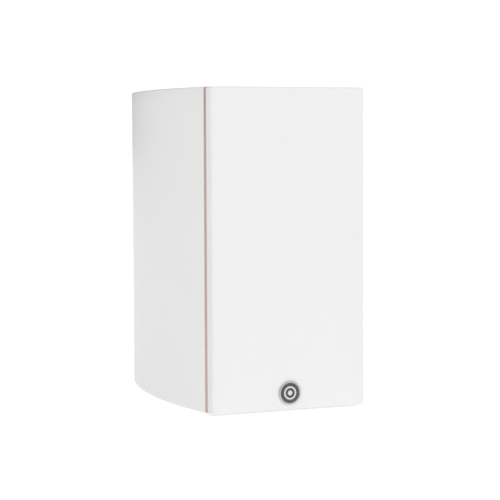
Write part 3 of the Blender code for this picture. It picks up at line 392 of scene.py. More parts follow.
# The finish of each of the record's material slots.
FINISHES: dict[str, Finish] = {
    "cabinet_lacquer": Finish(
        "white_satin_lacquer", (0.80, 0.795, 0.79), (0.835, 0.832, 0.828), Grain.ORANGE_PEEL,
        0.9 * MM, 0.006 * MM, (0.34, 0.42), coat=0.04, specular=0.22,
    ),
    "accent_ring": Finish(
        "anodised_copper_band", (0.50, 0.32, 0.29), (0.68, 0.49, 0.45), Grain.BRUSHED,
        0.35 * MM, 0.004 * MM, (0.3, 0.45), metallic=0.8, along=2,
    ),
    "foot_rubber": SOFT_RUBBER,
    "rear_plastic": Finish(
        "textured_black_plastic", (0.016, 0.016, 0.017), (0.040, 0.040, 0.042), Grain.SPECKLE,
        0.45 * MM, 0.03 * MM, (0.42, 0.6),
    ),
    "damping_fibre": Finish(
        "white_fibre_wadding", (0.55, 0.55, 0.53), (0.86, 0.86, 0.84), Grain.FIBRE, 2.2 * MM,
        0.9 * MM, (0.9, 1.0), sheen=0.3
    ),
    "grille_plastic": Finish(
        "moulded_grille_plastic", (0.62, 0.62, 0.61), (0.72, 0.72, 0.71), Grain.SPECKLE, 0.6 * MM,
        0.02 * MM, (0.45, 0.6)
    ),
    # The cloth's dark colour is painted shade in the gaps between its threads.
    "grille_cloth": Finish(
        "white_speaker_cloth", (0.70, 0.70, 0.70), (0.90, 0.90, 0.90), Grain.WOVEN,
        0.55 * MM, 0.05 * MM, (0.82, 0.95), sheen=0.1, specular=0.2, patches=0.1,
    ),
    "badge_rim": Finish(
        "brushed_badge_rim", (0.40, 0.40, 0.41), (0.60, 0.60, 0.61), Grain.TURNED,
        0.12 * MM, 0.002 * MM, (0.18, 0.3), metallic=1.0, centre=(0.0, 0.0, BADGE_Z), along=1,
    ),
    "badge_face": Finish(
        "charcoal_badge_enamel", (0.045, 0.045, 0.05), (0.075, 0.075, 0.08), Grain.TURNED,
        0.2 * MM, 0.002 * MM, (0.22, 0.34), coat=0.3, centre=(0.0, 0.0, BADGE_Z), along=1,
    ),
    "socket_rubber": SOFT_RUBBER,
    "basket_alloy": Finish(
        "painted_cast_alloy", (0.030, 0.030, 0.032), (0.058, 0.058, 0.061), Grain.ORANGE_PEEL,
        0.6 * MM, 0.02 * MM, (0.38, 0.5), metallic=0.4,
    ),
    "surround_rubber": Finish(
        "surround_rubber", (0.012, 0.012, 0.013), (0.028, 0.028, 0.030), Grain.TURNED,
        0.6 * MM, 0.008 * MM, (0.42, 0.58), centre=(0.0, 0.0, WOOFER_Z), along=1,
    ),
    "cone_paper": Finish(
        "woofer_cone_pulp", (0.030, 0.030, 0.032), (0.085, 0.084, 0.082), Grain.FIBRE, 1.1 * MM,
        0.04 * MM, (0.6, 0.8)
    ),
    "spider_cotton": Finish(
        "amber_spider_cotton", (0.42, 0.24, 0.08), (0.66, 0.43, 0.18), Grain.FIBRE, 0.6 * MM,
        0.03 * MM, (0.75, 0.9)
    ),
    # The wire's dark colour is painted shade in the grooves between its turns.
    "winding_copper": Finish(
        "enamelled_copper_wire", (0.30, 0.10, 0.04), (0.78, 0.36, 0.18), Grain.WOUND,
        0.8 * MM, 0.2 * MM, (0.22, 0.38), metallic=1.0, along=1,
    ),
    "motor_steel": Finish(
        "zinc_plated_steel", (0.42, 0.42, 0.41), (0.62, 0.62, 0.60), Grain.SPECKLE, 1.2 * MM,
        0.004 * MM, (0.28, 0.45), metallic=1.0
    ),
    "magnet_ferrite": Finish(
        "sintered_ferrite", (0.035, 0.035, 0.037), (0.075, 0.074, 0.073), Grain.SPECKLE, 0.7 * MM,
        0.02 * MM, (0.5, 0.68)
    ),
    "screw_steel": Finish(
        "black_oxide_steel", (0.035, 0.034, 0.033), (0.085, 0.083, 0.080), Grain.SPECKLE,
        0.25 * MM, 0.004 * MM, (0.3, 0.46), metallic=0.9,
    ),
    "faceplate_plastic": Finish(
        "matt_faceplate_plastic", (0.020, 0.020, 0.021), (0.036, 0.036, 0.038), Grain.SPECKLE,
        0.3 * MM, 0.012 * MM, (0.38, 0.52),
    ),
    "dome_silk": Finish(
        "coated_dome_silk", (0.018, 0.018, 0.020), (0.048, 0.048, 0.052), Grain.FIBRE, 0.35 * MM,
        0.01 * MM, (0.4, 0.55)
    ),
    "post_metal": Finish(
        "gold_plated_brass", (0.72, 0.47, 0.16), (0.92, 0.66, 0.28), Grain.BRUSHED,
        0.2 * MM, 0.002 * MM, (0.14, 0.28), metallic=1.0, along=1,
    ),
    "knob_red": Finish(
        "red_moulded_knob", (0.38, 0.010, 0.012), (0.52, 0.020, 0.020), Grain.SPECKLE, 0.5 * MM,
        0.004 * MM, (0.25, 0.38), coat=0.2
    ),
    "knob_black": Finish(
        "black_moulded_knob", (0.012, 0.012, 0.013), (0.026, 0.026, 0.028), Grain.SPECKLE, 0.5 * MM,
        0.004 * MM, (0.25, 0.38), coat=0.2
    ),
    "circuit_board": Finish(
        "tracked_circuit_board", (0.012, 0.085, 0.035), (0.30, 0.26, 0.12), Grain.TRACKS, 9.0 * MM,
        0.03 * MM, (0.3, 0.42)
    ),
    # The film's dark colour is painted shade in the grooves between its turns.
    "capacitor_film": Finish(
        "yellow_capacitor_film", (0.62, 0.42, 0.06), (0.76, 0.55, 0.12), Grain.WOUND,
        1.6 * MM, 0.01 * MM, (0.28, 0.4), coat=0.3, along=2,
    ),
    "resistor_ceramic": Finish(
        "white_cement_ceramic", (0.58, 0.57, 0.54), (0.74, 0.73, 0.70), Grain.SPECKLE, 0.8 * MM,
        0.03 * MM, (0.7, 0.85)
    ),
    "cable_jacket": Finish(
        "twin_lead_jacket", (0.45, 0.44, 0.42), (0.60, 0.59, 0.57), Grain.SPECKLE, 1.0 * MM,
        0.006 * MM, (0.35, 0.5)
    ),
}


# ----- Surfaces -----


@dataclass
class Patch:
    """A grid of points, rows by columns, that becomes quads.

    Rows or columns may join up round the back, and the first and last rows may
    be filled in as flat ends.
    """

    points: np.ndarray
    wrap_rows: bool = False
    wrap_columns: bool = True
    first_end: bool = False
    last_end: bool = False

    def faces(self, start: int) -> list[list[int]]:
        """Each quad joins a point to its neighbours in the next row and column.

        Args:
            start: Number of the patch's first vertex.

        Returns:
            The faces as lists of vertex numbers.
        """
        rows, columns = self.points.shape[:2]
        index = start + np.arange(rows * columns).reshape(rows, columns)
        grid = np.concatenate([index, index[:1]]) if self.wrap_rows else index
        if self.wrap_columns:
            grid = np.concatenate([grid, grid[:, :1]], axis=1)
        quads = np.stack([grid[:-1, :-1], grid[1:, :-1], grid[1:, 1:], grid[:-1, 1:]], axis=-1)
        found = quads.reshape(-1, 4).tolist()
        if self.first_end:
            found.append(index[0].tolist())
        if self.last_end:
            found.append(index[-1, ::-1].tolist())
        return found


def make_mesh(name: str, patches: Sequence[Patch], crease: float = CREASE) -> bpy.types.Object:
    """One mesh object from patches.

    Args:
        name: The object's name.
        patches: Its surfaces.
        crease: Edges sharper than this many degrees are shaded sharp.

    Returns:
        The object, closed, with its faces pointing outwards.
    """
    points: list[np.ndarray] = []
    faces: list[list[int]] = []
    count = 0
    for patch in patches:
        faces += patch.faces(count)
        points.append(patch.points.reshape(-1, 3))
        count += len(points[-1])
    mesh = bpy.data.meshes.new(name)
    mesh.from_pydata(np.concatenate(points).tolist(), [], faces)
    body = bmesh.new()
    body.from_mesh(mesh)
    bmesh.ops.remove_doubles(body, verts=body.verts, dist=WELD)
    bmesh.ops.dissolve_degenerate(body, edges=body.edges, dist=1e-7)
    bmesh.ops.recalc_face_normals(body, faces=body.faces)
    body.to_mesh(mesh)
    body.free()
    made = bpy.data.objects.new(name, mesh)
    bpy.context.scene.collection.objects.link(made)
    shade(made, crease)
    return made


def shade(piece: bpy.types.Object, crease: float) -> None:
    """Shade a piece smooth but for the edges sharper than crease, in degrees."""
    piece.data.shade_smooth()
    piece.data.set_sharp_from_angle(angle=math.radians(crease))


def eased(profile: Sequence[Row], radius: float, steps: int = 3, closed: bool = True) -> list[Row]:
    """Round a profile's corners.

    Each corner gives way to a quadratic curve that leaves its two edges a
    radius away from it, or at 0.45 of a shorter edge.

    Args:
        profile: Points whose first two numbers are the place; any others are
            carried over from the corner.
        radius: How far from each corner the rounding starts.
        steps: Spans of each curve.
        closed: Whether the last point joins the first.

    Returns:
        The new points.
    """
    found: list[Row] = []
    last = len(profile) - 1
    t = np.linspace(0, 1, steps + 1)[:, None]
    for place, corner in enumerate(profile):
        here = np.array(corner[:2])
        if (not closed and place in (0, last)) or corner[0] == 0:
            found.append(tuple(corner))
            continue
        ends = []
        for other in (profile[place - 1], profile[(place + 1) % len(profile)]):
            away = np.array(other[:2]) - here
            length = float(np.hypot(*away)) or 1.0
            ends.append(here + away / length * min(radius, 0.45 * length))
        curve = (1 - t) ** 2 * ends[0] + 2 * t * (1 - t) * here + t**2 * ends[1]
        found += [(*point, *corner[2:]) for point in curve.tolist()]
    return found


def arc(centre: Row, radius: float, start: float, end: float, steps: int) -> list[Row]:
    """Points on an arc.

    Args:
        centre: Its centre.
        radius: Its radius.
        start: First angle in degrees.
        end: Last angle in degrees.
        steps: Spans.

    Returns:
        The points, both ends among them.
    """
    angle = np.radians(np.linspace(start, end, steps + 1))
    return list(zip(centre[0] + radius * np.cos(angle), centre[1] + radius * np.sin(angle)))


def scaled(profile: Sequence[Row]) -> list[Row]:
    """A profile written in millimetres, in metres; a third number is kept."""
    return [(row[0] * MM, row[1] * MM, *row[2:]) for row in profile]


def ring_profile(inner: float, outer: float, front: float, back: float) -> tuple[Row, ...]:
    """The profile of a plain ring: the rectangle between two radii and two ends."""
    return (inner, front), (outer, front), (outer, back), (inner, back)


class Section(Enum):
    """What a turned piece looks like across its axis."""

    ROUND = 0
    HEXAGON = 1
    KNURLED = 2
    CROSS = 3

    def factor(self, angle: np.ndarray) -> np.ndarray:
        """How far out each angle lies, as a share of the radius.

        A hexagon is 1 / cos of the angle from the nearest flat's middle. A
        knurl is a rounded wave, and a cross is four rounded arms.

        Args:
            angle: Angles in radians.

        Returns:
            The shares.
        """
        if self is Section.HEXAGON:
            return 0.93 / np.cos((angle % (math.pi / 3)) - math.pi / 6)
        if self is Section.KNURLED:
            return 1 - 0.055 * np.abs(np.sin(angle * 12)) ** 3
        if self is Section.CROSS:
            return 0.36 + 0.64 * np.abs(np.cos(angle * 2)) ** 6
        return np.ones_like(angle)


class Axis(Enum):
    """The way that a turned or lofted piece's length runs."""

    IN = (0.0, 1.0, 0.0)
    OUT = (0.0, -1.0, 0.0)
    UP = (0.0, 0.0, 1.0)

    def place(
        self, across: np.ndarray, up: np.ndarray, along: np.ndarray, centre: Row
    ) -> np.ndarray:
        """Points from coordinates across, up and along this axis.

        Args:
            across: Distances along X.
            up: Distances along Z, or along Y where the axis is Z.
            along: Distances along the axis.
            centre: The piece's origin.

        Returns:
            The points, with a last dimension of three.
        """
        if self is Axis.UP:
            made = np.stack([across, up, along], axis=-1)
        else:
            made = np.stack([across, self.value[1] * along, up], axis=-1)
        return made + np.array(centre)


def turned(profile: Sequence[Row], centre: Row, axis: Axis = Axis.IN, count: int = 96) -> Patch:
    """A closed profile turned about an axis.

    The point at angle a is (r f(a) cos a, r f(a) sin a, along), where f is 1
    for a round row and the section's factor for another.

    Args:
        profile: (radius, along) or (radius, along, section) rows.
        centre: The origin.
        axis: Which way "along" runs.
        count: Steps round the axis.

    Returns:
        The surface.
    """
    angle = np.linspace(0, 2 * math.pi, count, endpoint=False)
    radius = np.array([row[0] for row in profile])[:, None]
    along = np.array([row[1] for row in profile])[:, None]
    kinds = [Section(row[2] if len(row) > 2 else 0) for row in profile]
    factor = np.stack([kind.factor(angle) for kind in kinds])
    across = radius * factor * np.cos(angle)
    up = radius * factor * np.sin(angle)
    return Patch(axis.place(across, up, along + 0 * across, centre), wrap_rows=True)


def rounded_rectangle(
    half_width: float, half_height: float, radius: float, corner: int = 6, side: int = 8
) -> np.ndarray:
    """The outline of a rectangle with rounded corners.

    Each corner is a quarter circle about its own centre, and each side is
    evenly stepped from one corner to the next.

    Args:
        half_width: Half its width.
        half_height: Half its height.
        radius: The corners' radius.
        corner: Steps round a corner.
        side: Steps along a side.

    Returns:
        Points (across, up), anticlockwise.
    """
    inner = np.array([half_width - radius, half_height - radius])
    quarter = np.linspace(0, math.pi / 2, corner + 1)
    bends = []
    for turn, signs in enumerate(((1, 1), (-1, 1), (-1, -1), (1, -1))):
        angle = quarter + turn * math.pi / 2
        bends.append(inner * signs + radius * np.stack([np.cos(angle), np.sin(angle)], axis=-1))
    share = np.linspace(0, 1, side + 1)[1:-1, None]
    parts = []
    for turn, bend in enumerate(bends):
        after = bends[(turn + 1) % 4]
        parts += [bend, (1 - share) * bend[-1] + share * after[0]]
    return np.concatenate(parts)


def lofted(
    stations: Sequence[Row], centre: Row, axis: Axis = Axis.IN, closed: bool = False,
    corner: int = 6, side: int = 8
) -> Patch:
    """Rounded rectangles joined one to the next.

    Args:
        stations: (half width, half height, corner radius, along) rows.
        centre: The origin.
        axis: Which way "along" runs.
        closed: Whether the last joins the first; otherwise both are filled in.
        corner: Steps round a corner.
        side: Steps along a side.

    Returns:
        The surface.
    """
    grid = np.stack([rounded_rectangle(w, h, r, corner, side) for w, h, r, _ in stations])
    along = np.array([row[3] for row in stations])[:, None] + 0 * grid[:, :, 0]
    points = axis.place(grid[:, :, 0], grid[:, :, 1], along, centre)
    return Patch(points, wrap_rows=closed, first_end=not closed, last_end=not closed)


def edge_stations(
    rows: Sequence[Row], radius: float, steps: int = 3, closed: bool = False
) -> list[Row]:
    """Stations whose edges are rounded.

    Args:
        rows: (inset, along, half width, half height, corner radius) rows: the
            last three belong to the outline that the inset is taken from.
        radius: The rounding.
        steps: Spans of each rounding.
        closed: Whether the last row joins the first.

    Returns:
        (half width, half height, corner radius, along) rows.
    """
    soft = eased(rows, radius, steps, closed)
    return [(w - i, h - i, max(r - i, 0.3 * MM), a) for i, a, w, h, r in soft]


def cut(piece: bpy.types.Object, cutters: Sequence[Patch]) -> None:
    """Cut closed shapes out of a piece.

    Args:
        piece: The mesh that is cut.
        cutters: What is taken away.
    """
    tool = make_mesh("cutter", cutters)
    for material in piece.data.materials:
        tool.data.materials.append(material)
    if len(tool.data.materials) > 1:
        tool.data.polygons.foreach_set("material_index", np.ones(len(tool.data.polygons), np.int32))
    modifier = piece.modifiers.new("cut", "BOOLEAN")
    modifier.operation = "DIFFERENCE"
    modifier.solver = "EXACT"
    modifier.object = tool
    graph = bpy.context.evaluated_depsgraph_get()
    mesh = bpy.data.meshes.new_from_object(piece.evaluated_get(graph))
    piece.modifiers.clear()
    old, piece.data = piece.data, mesh
    bpy.data.meshes.remove(old)
    mesh.name = piece.name
    spent = tool.data
    bpy.data.objects.remove(tool)
    bpy.data.meshes.remove(spent)
    shade(piece, CREASE)


def co(piece: bpy.types.Object) -> np.ndarray:
    """The places of a mesh's vertices.

    Args:
        piece: The mesh.

    Returns:
        One row of x, y and z for each.
    """
    found = np.empty(len(piece.data.vertices) * 3)
    piece.data.vertices.foreach_get("co", found)
    return found.reshape(-1, 3)


def set_uv(piece: bpy.types.Object, uv: np.ndarray) -> None:
    """Lay the mesh out on its flat pattern.

    Args:
        piece: The mesh.
        uv: Each vertex's place on the pattern, in metres.
    """
    corner = np.empty(len(piece.data.loops), np.int32)
    piece.data.loops.foreach_get("vertex_index", corner)
    layer = piece.data.uv_layers.new(name="flat_pattern")
    layer.data.foreach_set("uv", uv[corner].astype(np.float32).ravel())


def settle(
    piece: bpy.types.Object, slot: str, body: str, nodes: Sequence[str] = (),
    finish: Finish | None = None
) -> bpy.types.Object:
    """Dress a piece, give it its body and hide the solids that it stands for.

    Args:
        piece: The finished mesh.
        slot: The record's material slot.
        body: The body that it rides on.
        nodes: The CAD nodes that it replaces.
        finish: Its finish, if not the slot's own.

    Returns:
        The same piece.
    """
    if not piece.data.materials:
        piece.data.materials.append((finish or FINISHES[slot]).material())
    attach(piece, body)
    if nodes:
        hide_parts(*nodes)
    LOG.info("%s on %s", piece.name, body)
    return piece


def suspended(
    piece: bpy.types.Object,
    slot: str,
    node: str,
    moving: str,
    centre: Row,
    inner: float,
    outer: float,
) -> None:
    """Dress a ring that lies between the cabinet and what moves inside it.

    The share that would follow the moving body runs smoothly from 0 at the
    outer radius to 1 at the inner one; it is worked out but nothing uses it.

    Args:
        piece: The ring.
        slot: Its material slot.
        node: The CAD node that it replaces.
        moving: The body inside it.
        centre: A point on the axis, along Y.
        inner: Radius where the ring is glued to the moving body.
        outer: Radius where it is glued to the cabinet.
    """
    piece.data.materials.append(FINISHES[slot].material())
    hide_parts(node)
    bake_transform(piece)
    away = co(piece)[:, (0, 2)] - np.array([centre[0], centre[2]])
    share = np.clip((outer - np.hypot(*away.T)) / (outer - inner), 0, 1)
    share = share * share * (3 - 2 * share)
    LOG.info("%s between cabinet and %s", piece.name, moving)


# ----- Cabinet -----


@dataclass(frozen=True)
class Plan:
    """The cabinet's outline from above: bowed sides and rounded rear corners."""

    front_width: float = 150 * MM
    depth: float = 250 * MM
    middle: float = 125.55 * MM
    bow: float = 470 * MM
    widest: float = 94.5 * MM
    corner: float = 24 * MM
    bottom: float = 2 * MM
    top: float = 292 * MM

    @property
    def centre(self) -> float:
        """X of the bow's centre, for the right side."""
        return self.front_width / 2 - math.sqrt(self.bow**2 - self.widest**2)

    @property
    def turn(self) -> float:
        """The angle at which the bow meets the rear corner."""
        return math.asin((self.depth - self.corner - self.widest) / (self.bow - self.corner))

    def half_width(self, depth: float, inset: float = 0.0) -> float:
        """Half the width at a depth on the bow, a distance inside it."""
        return self.centre + math.sqrt((self.bow - inset) ** 2 - (depth - self.widest) ** 2)

    def outline(
        self, inset: float, front: float, side: int = 40, corner: int = 14, rear: int = 12
    ) -> np.ndarray:
        """The closed outline, from the front right corner to the front left one.

        The side is an arc of the bow's radius less the inset. The rear corner
        is an arc about its own centre, tangent to it. The rear and the front
        are straight.

        Args:
            inset: How far inside the cabinet's face it runs.
            front: Depth of its front.
            side: Steps along a side.
            corner: Steps round a rear corner.
            rear: Steps across the rear and the front.

        Returns:
            Points (x, depth).
        """
        first = math.asin((front - self.widest) / (self.bow - inset))
        bow = np.linspace(first, self.turn, side + 1)
        right = [
            self.centre + (self.bow - inset) * np.cos(bow),
            self.widest + (self.bow - inset) * np.sin(bow)
        ]
        corner_x = self.centre + (self.bow - self.corner) * math.cos(self.turn)
        bend = np.linspace(self.turn, math.pi / 2, corner + 1)[1:]
        reach = self.corner - inset
        back = [corner_x + reach * np.cos(bend), self.depth - self.corner + reach * np.sin(bend)]
        half = np.concatenate([np.stack(right, axis=-1), np.stack(back, axis=-1)])
        share = np.linspace(0, 1, rear + 1)[1:-1, None]
        other = half[::-1] * (-1, 1)
        across = (1 - share) * half[-1] + share * other[0]
        home = (1 - share) * other[-1] + share * half[0]
        return np.concatenate([half, across, other, home])


PLAN = Plan()


@dataclass
class Cabinet:
    """The lacquered case, its front ring, port, feet and filling."""

    wall: float = 10 * MM
    end_wall: float = 15 * MM
    front: float = 12.5 * MM
    edge: float = 1.6 * MM

    def case(self) -> bpy.types.Object:
        """The case in one skin, with its two rear openings.

        Stations of the plan outline run up from a bottom edge that turns in
        along a quarter circle to a top edge that does the same. The hollow is
        cut out of it and shows bare board.

        Returns:
            The case.
        """
        turn = np.linspace(0, math.pi / 2, 6)
        lift = self.edge * (1 - np.sin(turn[::-1]))
        inset = self.edge * (1 - np.cos(turn[::-1]))
        heights = np.linspace(PLAN.bottom + self.edge, PLAN.top - self.edge, 30)[1:-1]
        levels = np.concatenate([PLAN.bottom + lift, heights, PLAN.top - lift[::-1]])
        insets = np.concatenate([inset, 0 * heights, inset[::-1]])
        outer = self.walls(levels, insets, self.front)
        inner = self.walls(
            np.array([PLAN.bottom + self.end_wall, PLAN.top - self.end_wall]),
            np.full(2, self.wall), self.front - 2 * MM, PLAN.depth - self.end_wall,
        )
        made = make_mesh("cabinet_case", [outer])
        made.data.materials.append(FINISHES["cabinet_lacquer"].material())
        made.data.materials.append(RAW_BOARD.material())
        cut(made, [inner])
        port = turned(scaled(ring_profile(0, 24.8, -20, 5)), (0, REAR_FACE, PORT_Z))
        opening = [(29.3 * MM, 42.3 * MM, 4 * MM, a * MM) for a in (-20, 5)]
        cut(made, [port, lofted(opening, (0, REAR_FACE, TERMINAL_Z))])
        return made

    def walls(
        self, levels: np.ndarray, insets: np.ndarray, front: float, rear: float = 1.0
    ) -> Patch:
        """Upright walls on the plan outline.

        Args:
            levels: Height of each station.
            insets: How far inside the face each station runs.
            front: Depth of the front.
            rear: Depth past which nothing goes.

        Returns:
            The closed surface.
        """
        grid = np.stack([PLAN.outline(i, front) for i in insets])
        depth = np.minimum(grid[:, :, 1], rear) - PLAN.middle
        height = levels[:, None] + 0 * depth
        return Patch(
            np.stack([grid[:, :, 0], depth, height], axis=-1), first_end=True, last_end=True
        )

    def ring(self) -> bpy.types.Object:
        """The band behind the grille: an L section, whose lip laps the grille frame.

        Returns:
            The band.
        """
        half = PLAN.half_width(9.5 * MM)
        tall = (PLAN.top - PLAN.bottom) / 2
        rows = [(0.2, 8.5), (0.7, 8.5), (0.7, 9.7), (5.2, 9.7), (5.2, 12.3), (0.2, 12.3)]
        full = [(i * MM, a * MM - PLAN.middle, half, tall, 2.0 * MM) for i, a in rows]
        made = edge_stations(full, 0.15 * MM, closed=True)
        return make_mesh(
            "accent_band", [lofted(made, (0, 0, PLAN.bottom + tall), closed=True, side=16)]
        )

    def feet(self) -> list[bpy.types.Object]:
        """Four turned rubber feet, a fixed distance inside the bow.

        Returns:
            The feet, front ones first.
        """
        rows = scaled([(0, 0), (6.2, 0), (7, 0.8), (7, 1.7), (0, 1.7)])
        made = []
        for depth, end in ((36 * MM, "front"), (214 * MM, "rear")):
            across = PLAN.half_width(depth) - 24 * MM
            for hand, side in ((-1, "left"), (1, "right")):
                centre = (hand * across, depth - PLAN.middle, 0.0)
                patch = turned(eased(rows, 0.3 * MM), centre, Axis.UP, 64)
                made.append(make_mesh(f"rubber_foot_{end}_{side}", [patch]))
        return made

    def port(self) -> bpy.types.Object:
        """The port tube, turned: two arcs flare its inner and outer ends.

        Returns:
            The port.
        """
        rows = [*arc((23, -87), 3, 225, 180, 4), *arc((28, -5.5), 8, 180, 90, 16)]
        rows += [
            (30.7, 2.5), (31, 2.2), (31, 0.3), (24.5, 0.3), (24.5, -18), (22, -18), (22, -87),
            (23, -88.5)
        ]
        return make_mesh("flared_port", [turned(scaled(rows), (0, REAR_FACE, PORT_Z))])

    def wadding(self) -> bpy.types.Object:
        """The fibre pad, crowned on both faces and dimpled all over.

        Rings of the pad's plan shrink towards its middle line. Its faces
        bulge by a cosine across and up the pad, less a product of sines.

        Returns:
            The pad.
        """
        outer = PLAN.half_width(117 * MM, 34 * MM)
        tall = (PLAN.top - PLAN.bottom) / 2 - 15.3 * MM
        turn = np.linspace(-math.pi / 2, math.pi / 2, 15)
        rows = [(15 * MM * (1 - math.cos(a)), 31 * MM * math.sin(a)) for a in turn]
        shrink = np.linspace(0, 1, 14)[1:]
        full = [(outer - i, tall - i, 12 * MM - 0.6 * i, a) for i, a in rows]
        w, h, r, a = full[0]
        front = [(w * (1 - s), h - w * s, max(r * (1 - s), 0), a) for s in shrink[::-1]]
        back = [(w * (1 - s), h - w * s, max(r * (1 - s), 0), -a) for s in shrink]
        centre = (0, 117 * MM - PLAN.middle, PLAN.bottom + tall + 15.3 * MM)
        patch = lofted(front + full + back, centre, corner=10, side=24)
        made = make_mesh("fibre_pad", [patch], 180)
        place = co(made) - np.array(centre)
        dimple = np.sin(place[:, 0] * 210) * np.sin(place[:, 2] * 190 + 1) * 1.6 * MM
        place[:, 1] *= 1 - 0.16 * (np.abs(place[:, 2]) / tall) ** 2
        place[:, 1] -= np.sign(place[:, 1]) * (1.6 * MM + dimple) * (np.abs(place[:, 1]) > 20 * MM)
        made.data.vertices.foreach_set("co", (place + np.array(centre)).ravel())
        made.data.update()
        return made

    def build(self) -> None:
        """Make and dress every piece of the case."""
        panels = ["side_panel_left", "side_panel_right", "top_panel", "bottom_panel", "rear_panel"]
        settle(self.case(), "cabinet_lacquer", "cabinet", panels)
        settle(self.ring(), "accent_ring", "cabinet", ["accent_ring"])
        for foot in self.feet():
            settle(foot, "foot_rubber", "cabinet", [foot.name.removeprefix("rubber_")])
        settle(self.port(), "rear_plastic", "cabinet", ["port_tube"])
        pad = settle(self.wadding(), "damping_fibre", "cabinet", ["wadding"])


@dataclass
class Grille:
    """The cloth over its frame, and the badge at its foot."""

    depth: float = 8.3 * MM
    thickness: float = 0.5 * MM
    edge: float = 1.5 * MM

    def cloth(self) -> bpy.types.Object:
        """One sheet stretched over the front and turned back along four sides.

        Rounded rectangles run forward from the hem, turn in along a quarter
        circle and shrink to an upright line in the middle of the front. The
        sides spread to meet the cabinet's bow. The flat pattern is (x, z),
        plus the run back along each side.

        Returns:
            The cloth.
        """
        half = PLAN.half_width(0.0)
        tall = (PLAN.top - PLAN.bottom) / 2
        spread = (PLAN.half_width(self.depth) - half) / self.depth
        runs = [(0.0, d) for d in np.linspace(self.depth, self.edge, 7)]
        turn = np.linspace(0, math.pi / 2, 7)[1:]
        runs += [(self.edge * (1 - math.cos(a)), self.edge * (1 - math.sin(a))) for a in turn]
        round_off = 2.2 * MM
        rows = [(half + spread * d - i, tall - i, round_off - 0.5 * i, d) for i, d in runs]
        wide, high, bend, _ = rows[-1]
        rows += [
            (
                wide * (1 - s), high - wide * s, bend * (1 - s), 0.0
            ) for s in np.linspace(0, 1, 25)[1:]
        ]
        stations = [(w, h, r, d - PLAN.middle) for w, h, r, d in rows]
        centre = (0.0, 0.0, PLAN.bottom + tall)
        patch = lofted(stations, centre, corner=6, side=24)
        patch.first_end = patch.last_end = False
        made = make_mesh("stretched_grille_cloth", [patch], 60)
        self.face_out(made)
        place = co(made)
        normal = np.empty(len(place) * 3)
        made.data.vertices.foreach_get("normal", normal)
        normal = normal.reshape(-1, 3)
        run = (place[:, 1] + PLAN.middle)[:, None]
        set_uv(made, place[:, (0, 2)] + normal[:, (0, 2)] * run)
        solid = made.modifiers.new("cloth_thickness", "SOLIDIFY")
        solid.thickness = self.thickness
        solid.offset = -1.0
        return made

    def face_out(self, piece: bpy.types.Object) -> None:
        """Turn an open sheet over if its front faces backwards.

        Args:
            piece: The sheet.
        """
        normal = np.empty(len(piece.data.polygons) * 3)
        piece.data.polygons.foreach_get("normal", normal)
        if normal[1::3].sum() > 0:
            piece.data.flip_normals()

    def badge(self) -> list[tuple[bpy.types.Object, str, list[str], Finish | None]]:
        """The rim, its plate and the plain ring-and-dot print on it.

        Returns:
            Each piece with its slot, the solids it replaces and any finish of its own.
        """
        centre = (0.0, -PLAN.middle, BADGE_Z)
        rim = [(10.8, 0.3), (10.8, 1.0), (10.4, 1.4), (9.5, 1.4), (9.1, 1.0), (9.1, 0.3)]
        plate = [(0, 0.3), (8.8, 0.3), (8.8, 0.85), (8.6, 1.0), (0, 1.0)]
        dot = [(0, 0.9), (2.2, 0.9), (2.2, 1.06), (2.1, 1.08), (0, 1.08)]
        band = [(4.6, 0.9), (6.0, 0.9), (6.0, 1.08), (4.6, 1.08)]
        turn = {"centre": centre, "axis": Axis.OUT, "count": 128}
        marks = [turned(scaled(dot), **turn), turned(scaled(band), **turn)]
        rim_patch = turned(eased(scaled(rim), 0.2 * MM), **turn)
        return [
            (make_mesh("badge_bezel", [rim_patch], 60), "badge_rim", ["badge_rim"], None),
            (
                make_mesh("badge_disc", [turned(scaled(plate), **turn)]), "badge_face",
                ["badge_plate"], None
            ),
            (make_mesh("badge_print", marks), "badge_face", [], BADGE_PRINT),
        ]

    def build(self) -> None:
        """Make and dress the cloth and the badge."""
        cloth = settle(self.cloth(), "grille_cloth", "grille", ["grille_cloth"])
        for piece, slot, nodes, finish in self.badge():
            settle(piece, slot, "grille", nodes, finish)


# ----- Drivers -----


@dataclass(frozen=True)
class Turning:
    """One turned piece, with the solids it replaces and its profile in millimetres."""

    name: str
    slot: str
    body: str
    nodes: tuple[str, ...]
    profile: tuple[Row, ...]
    ease: float = 0.25
    count: int = 96
    finish: Finish | None = None

    def build(self, centre: Row, axis: Axis = Axis.IN) -> bpy.types.Object:
        """Turn the piece and dress it.

        Args:
            centre: The profile's origin, on the axis.
            axis: Which way the profile runs.

        Returns:
            The piece.
        """
        rows = eased(scaled(self.profile), self.ease * MM) if self.ease else scaled(self.profile)
        made = make_mesh(self.name, [turned(rows, centre, axis, self.count)])
        return settle(made, self.slot, self.body, self.nodes, self.finish)


def cap(radius: float, height: float, base: float, wall: float, steps: int = 24) -> tuple[Row, ...]:
    """The profile of a spherical cap with an even wall, in millimetres.

    The outer line is an arc through the rim and the crown, and the inner one
    an arc about the same centre with the wall taken off its radius.

    Args:
        radius: The rim's radius.
        height: How far the crown stands in front of the rim.
        base: How far along the rim lies.
        wall: Its thickness.
        steps: Spans of each arc.

    Returns:
        The closed profile.
    """
    ball = (radius**2 + height**2) / (2 * height)
    middle = base - height + ball
    reach = math.asin(radius / ball)
    angle = np.linspace(0, reach, steps)
    outer = np.stack([ball * np.sin(angle), middle - ball * np.cos(angle)], axis=-1)
    inner = np.stack(
        [(ball - wall) * np.sin(angle), middle - (ball - wall) * np.cos(angle)], axis=-1
    )
    return tuple(map(tuple, np.concatenate([outer, inner[::-1]]).tolist()))


SCREW = (
    (0, -1.1), (2.1, -1.1, 3), (2.1, -2.1, 3), (2.6, -2.1), (3.6, -1.05), (3.6, -0.3), (1.9, -0.3),
    (1.9, 14), (0, 14)
)


SCREW_HOLE = ring_profile(0, 2.2, -2, 6)


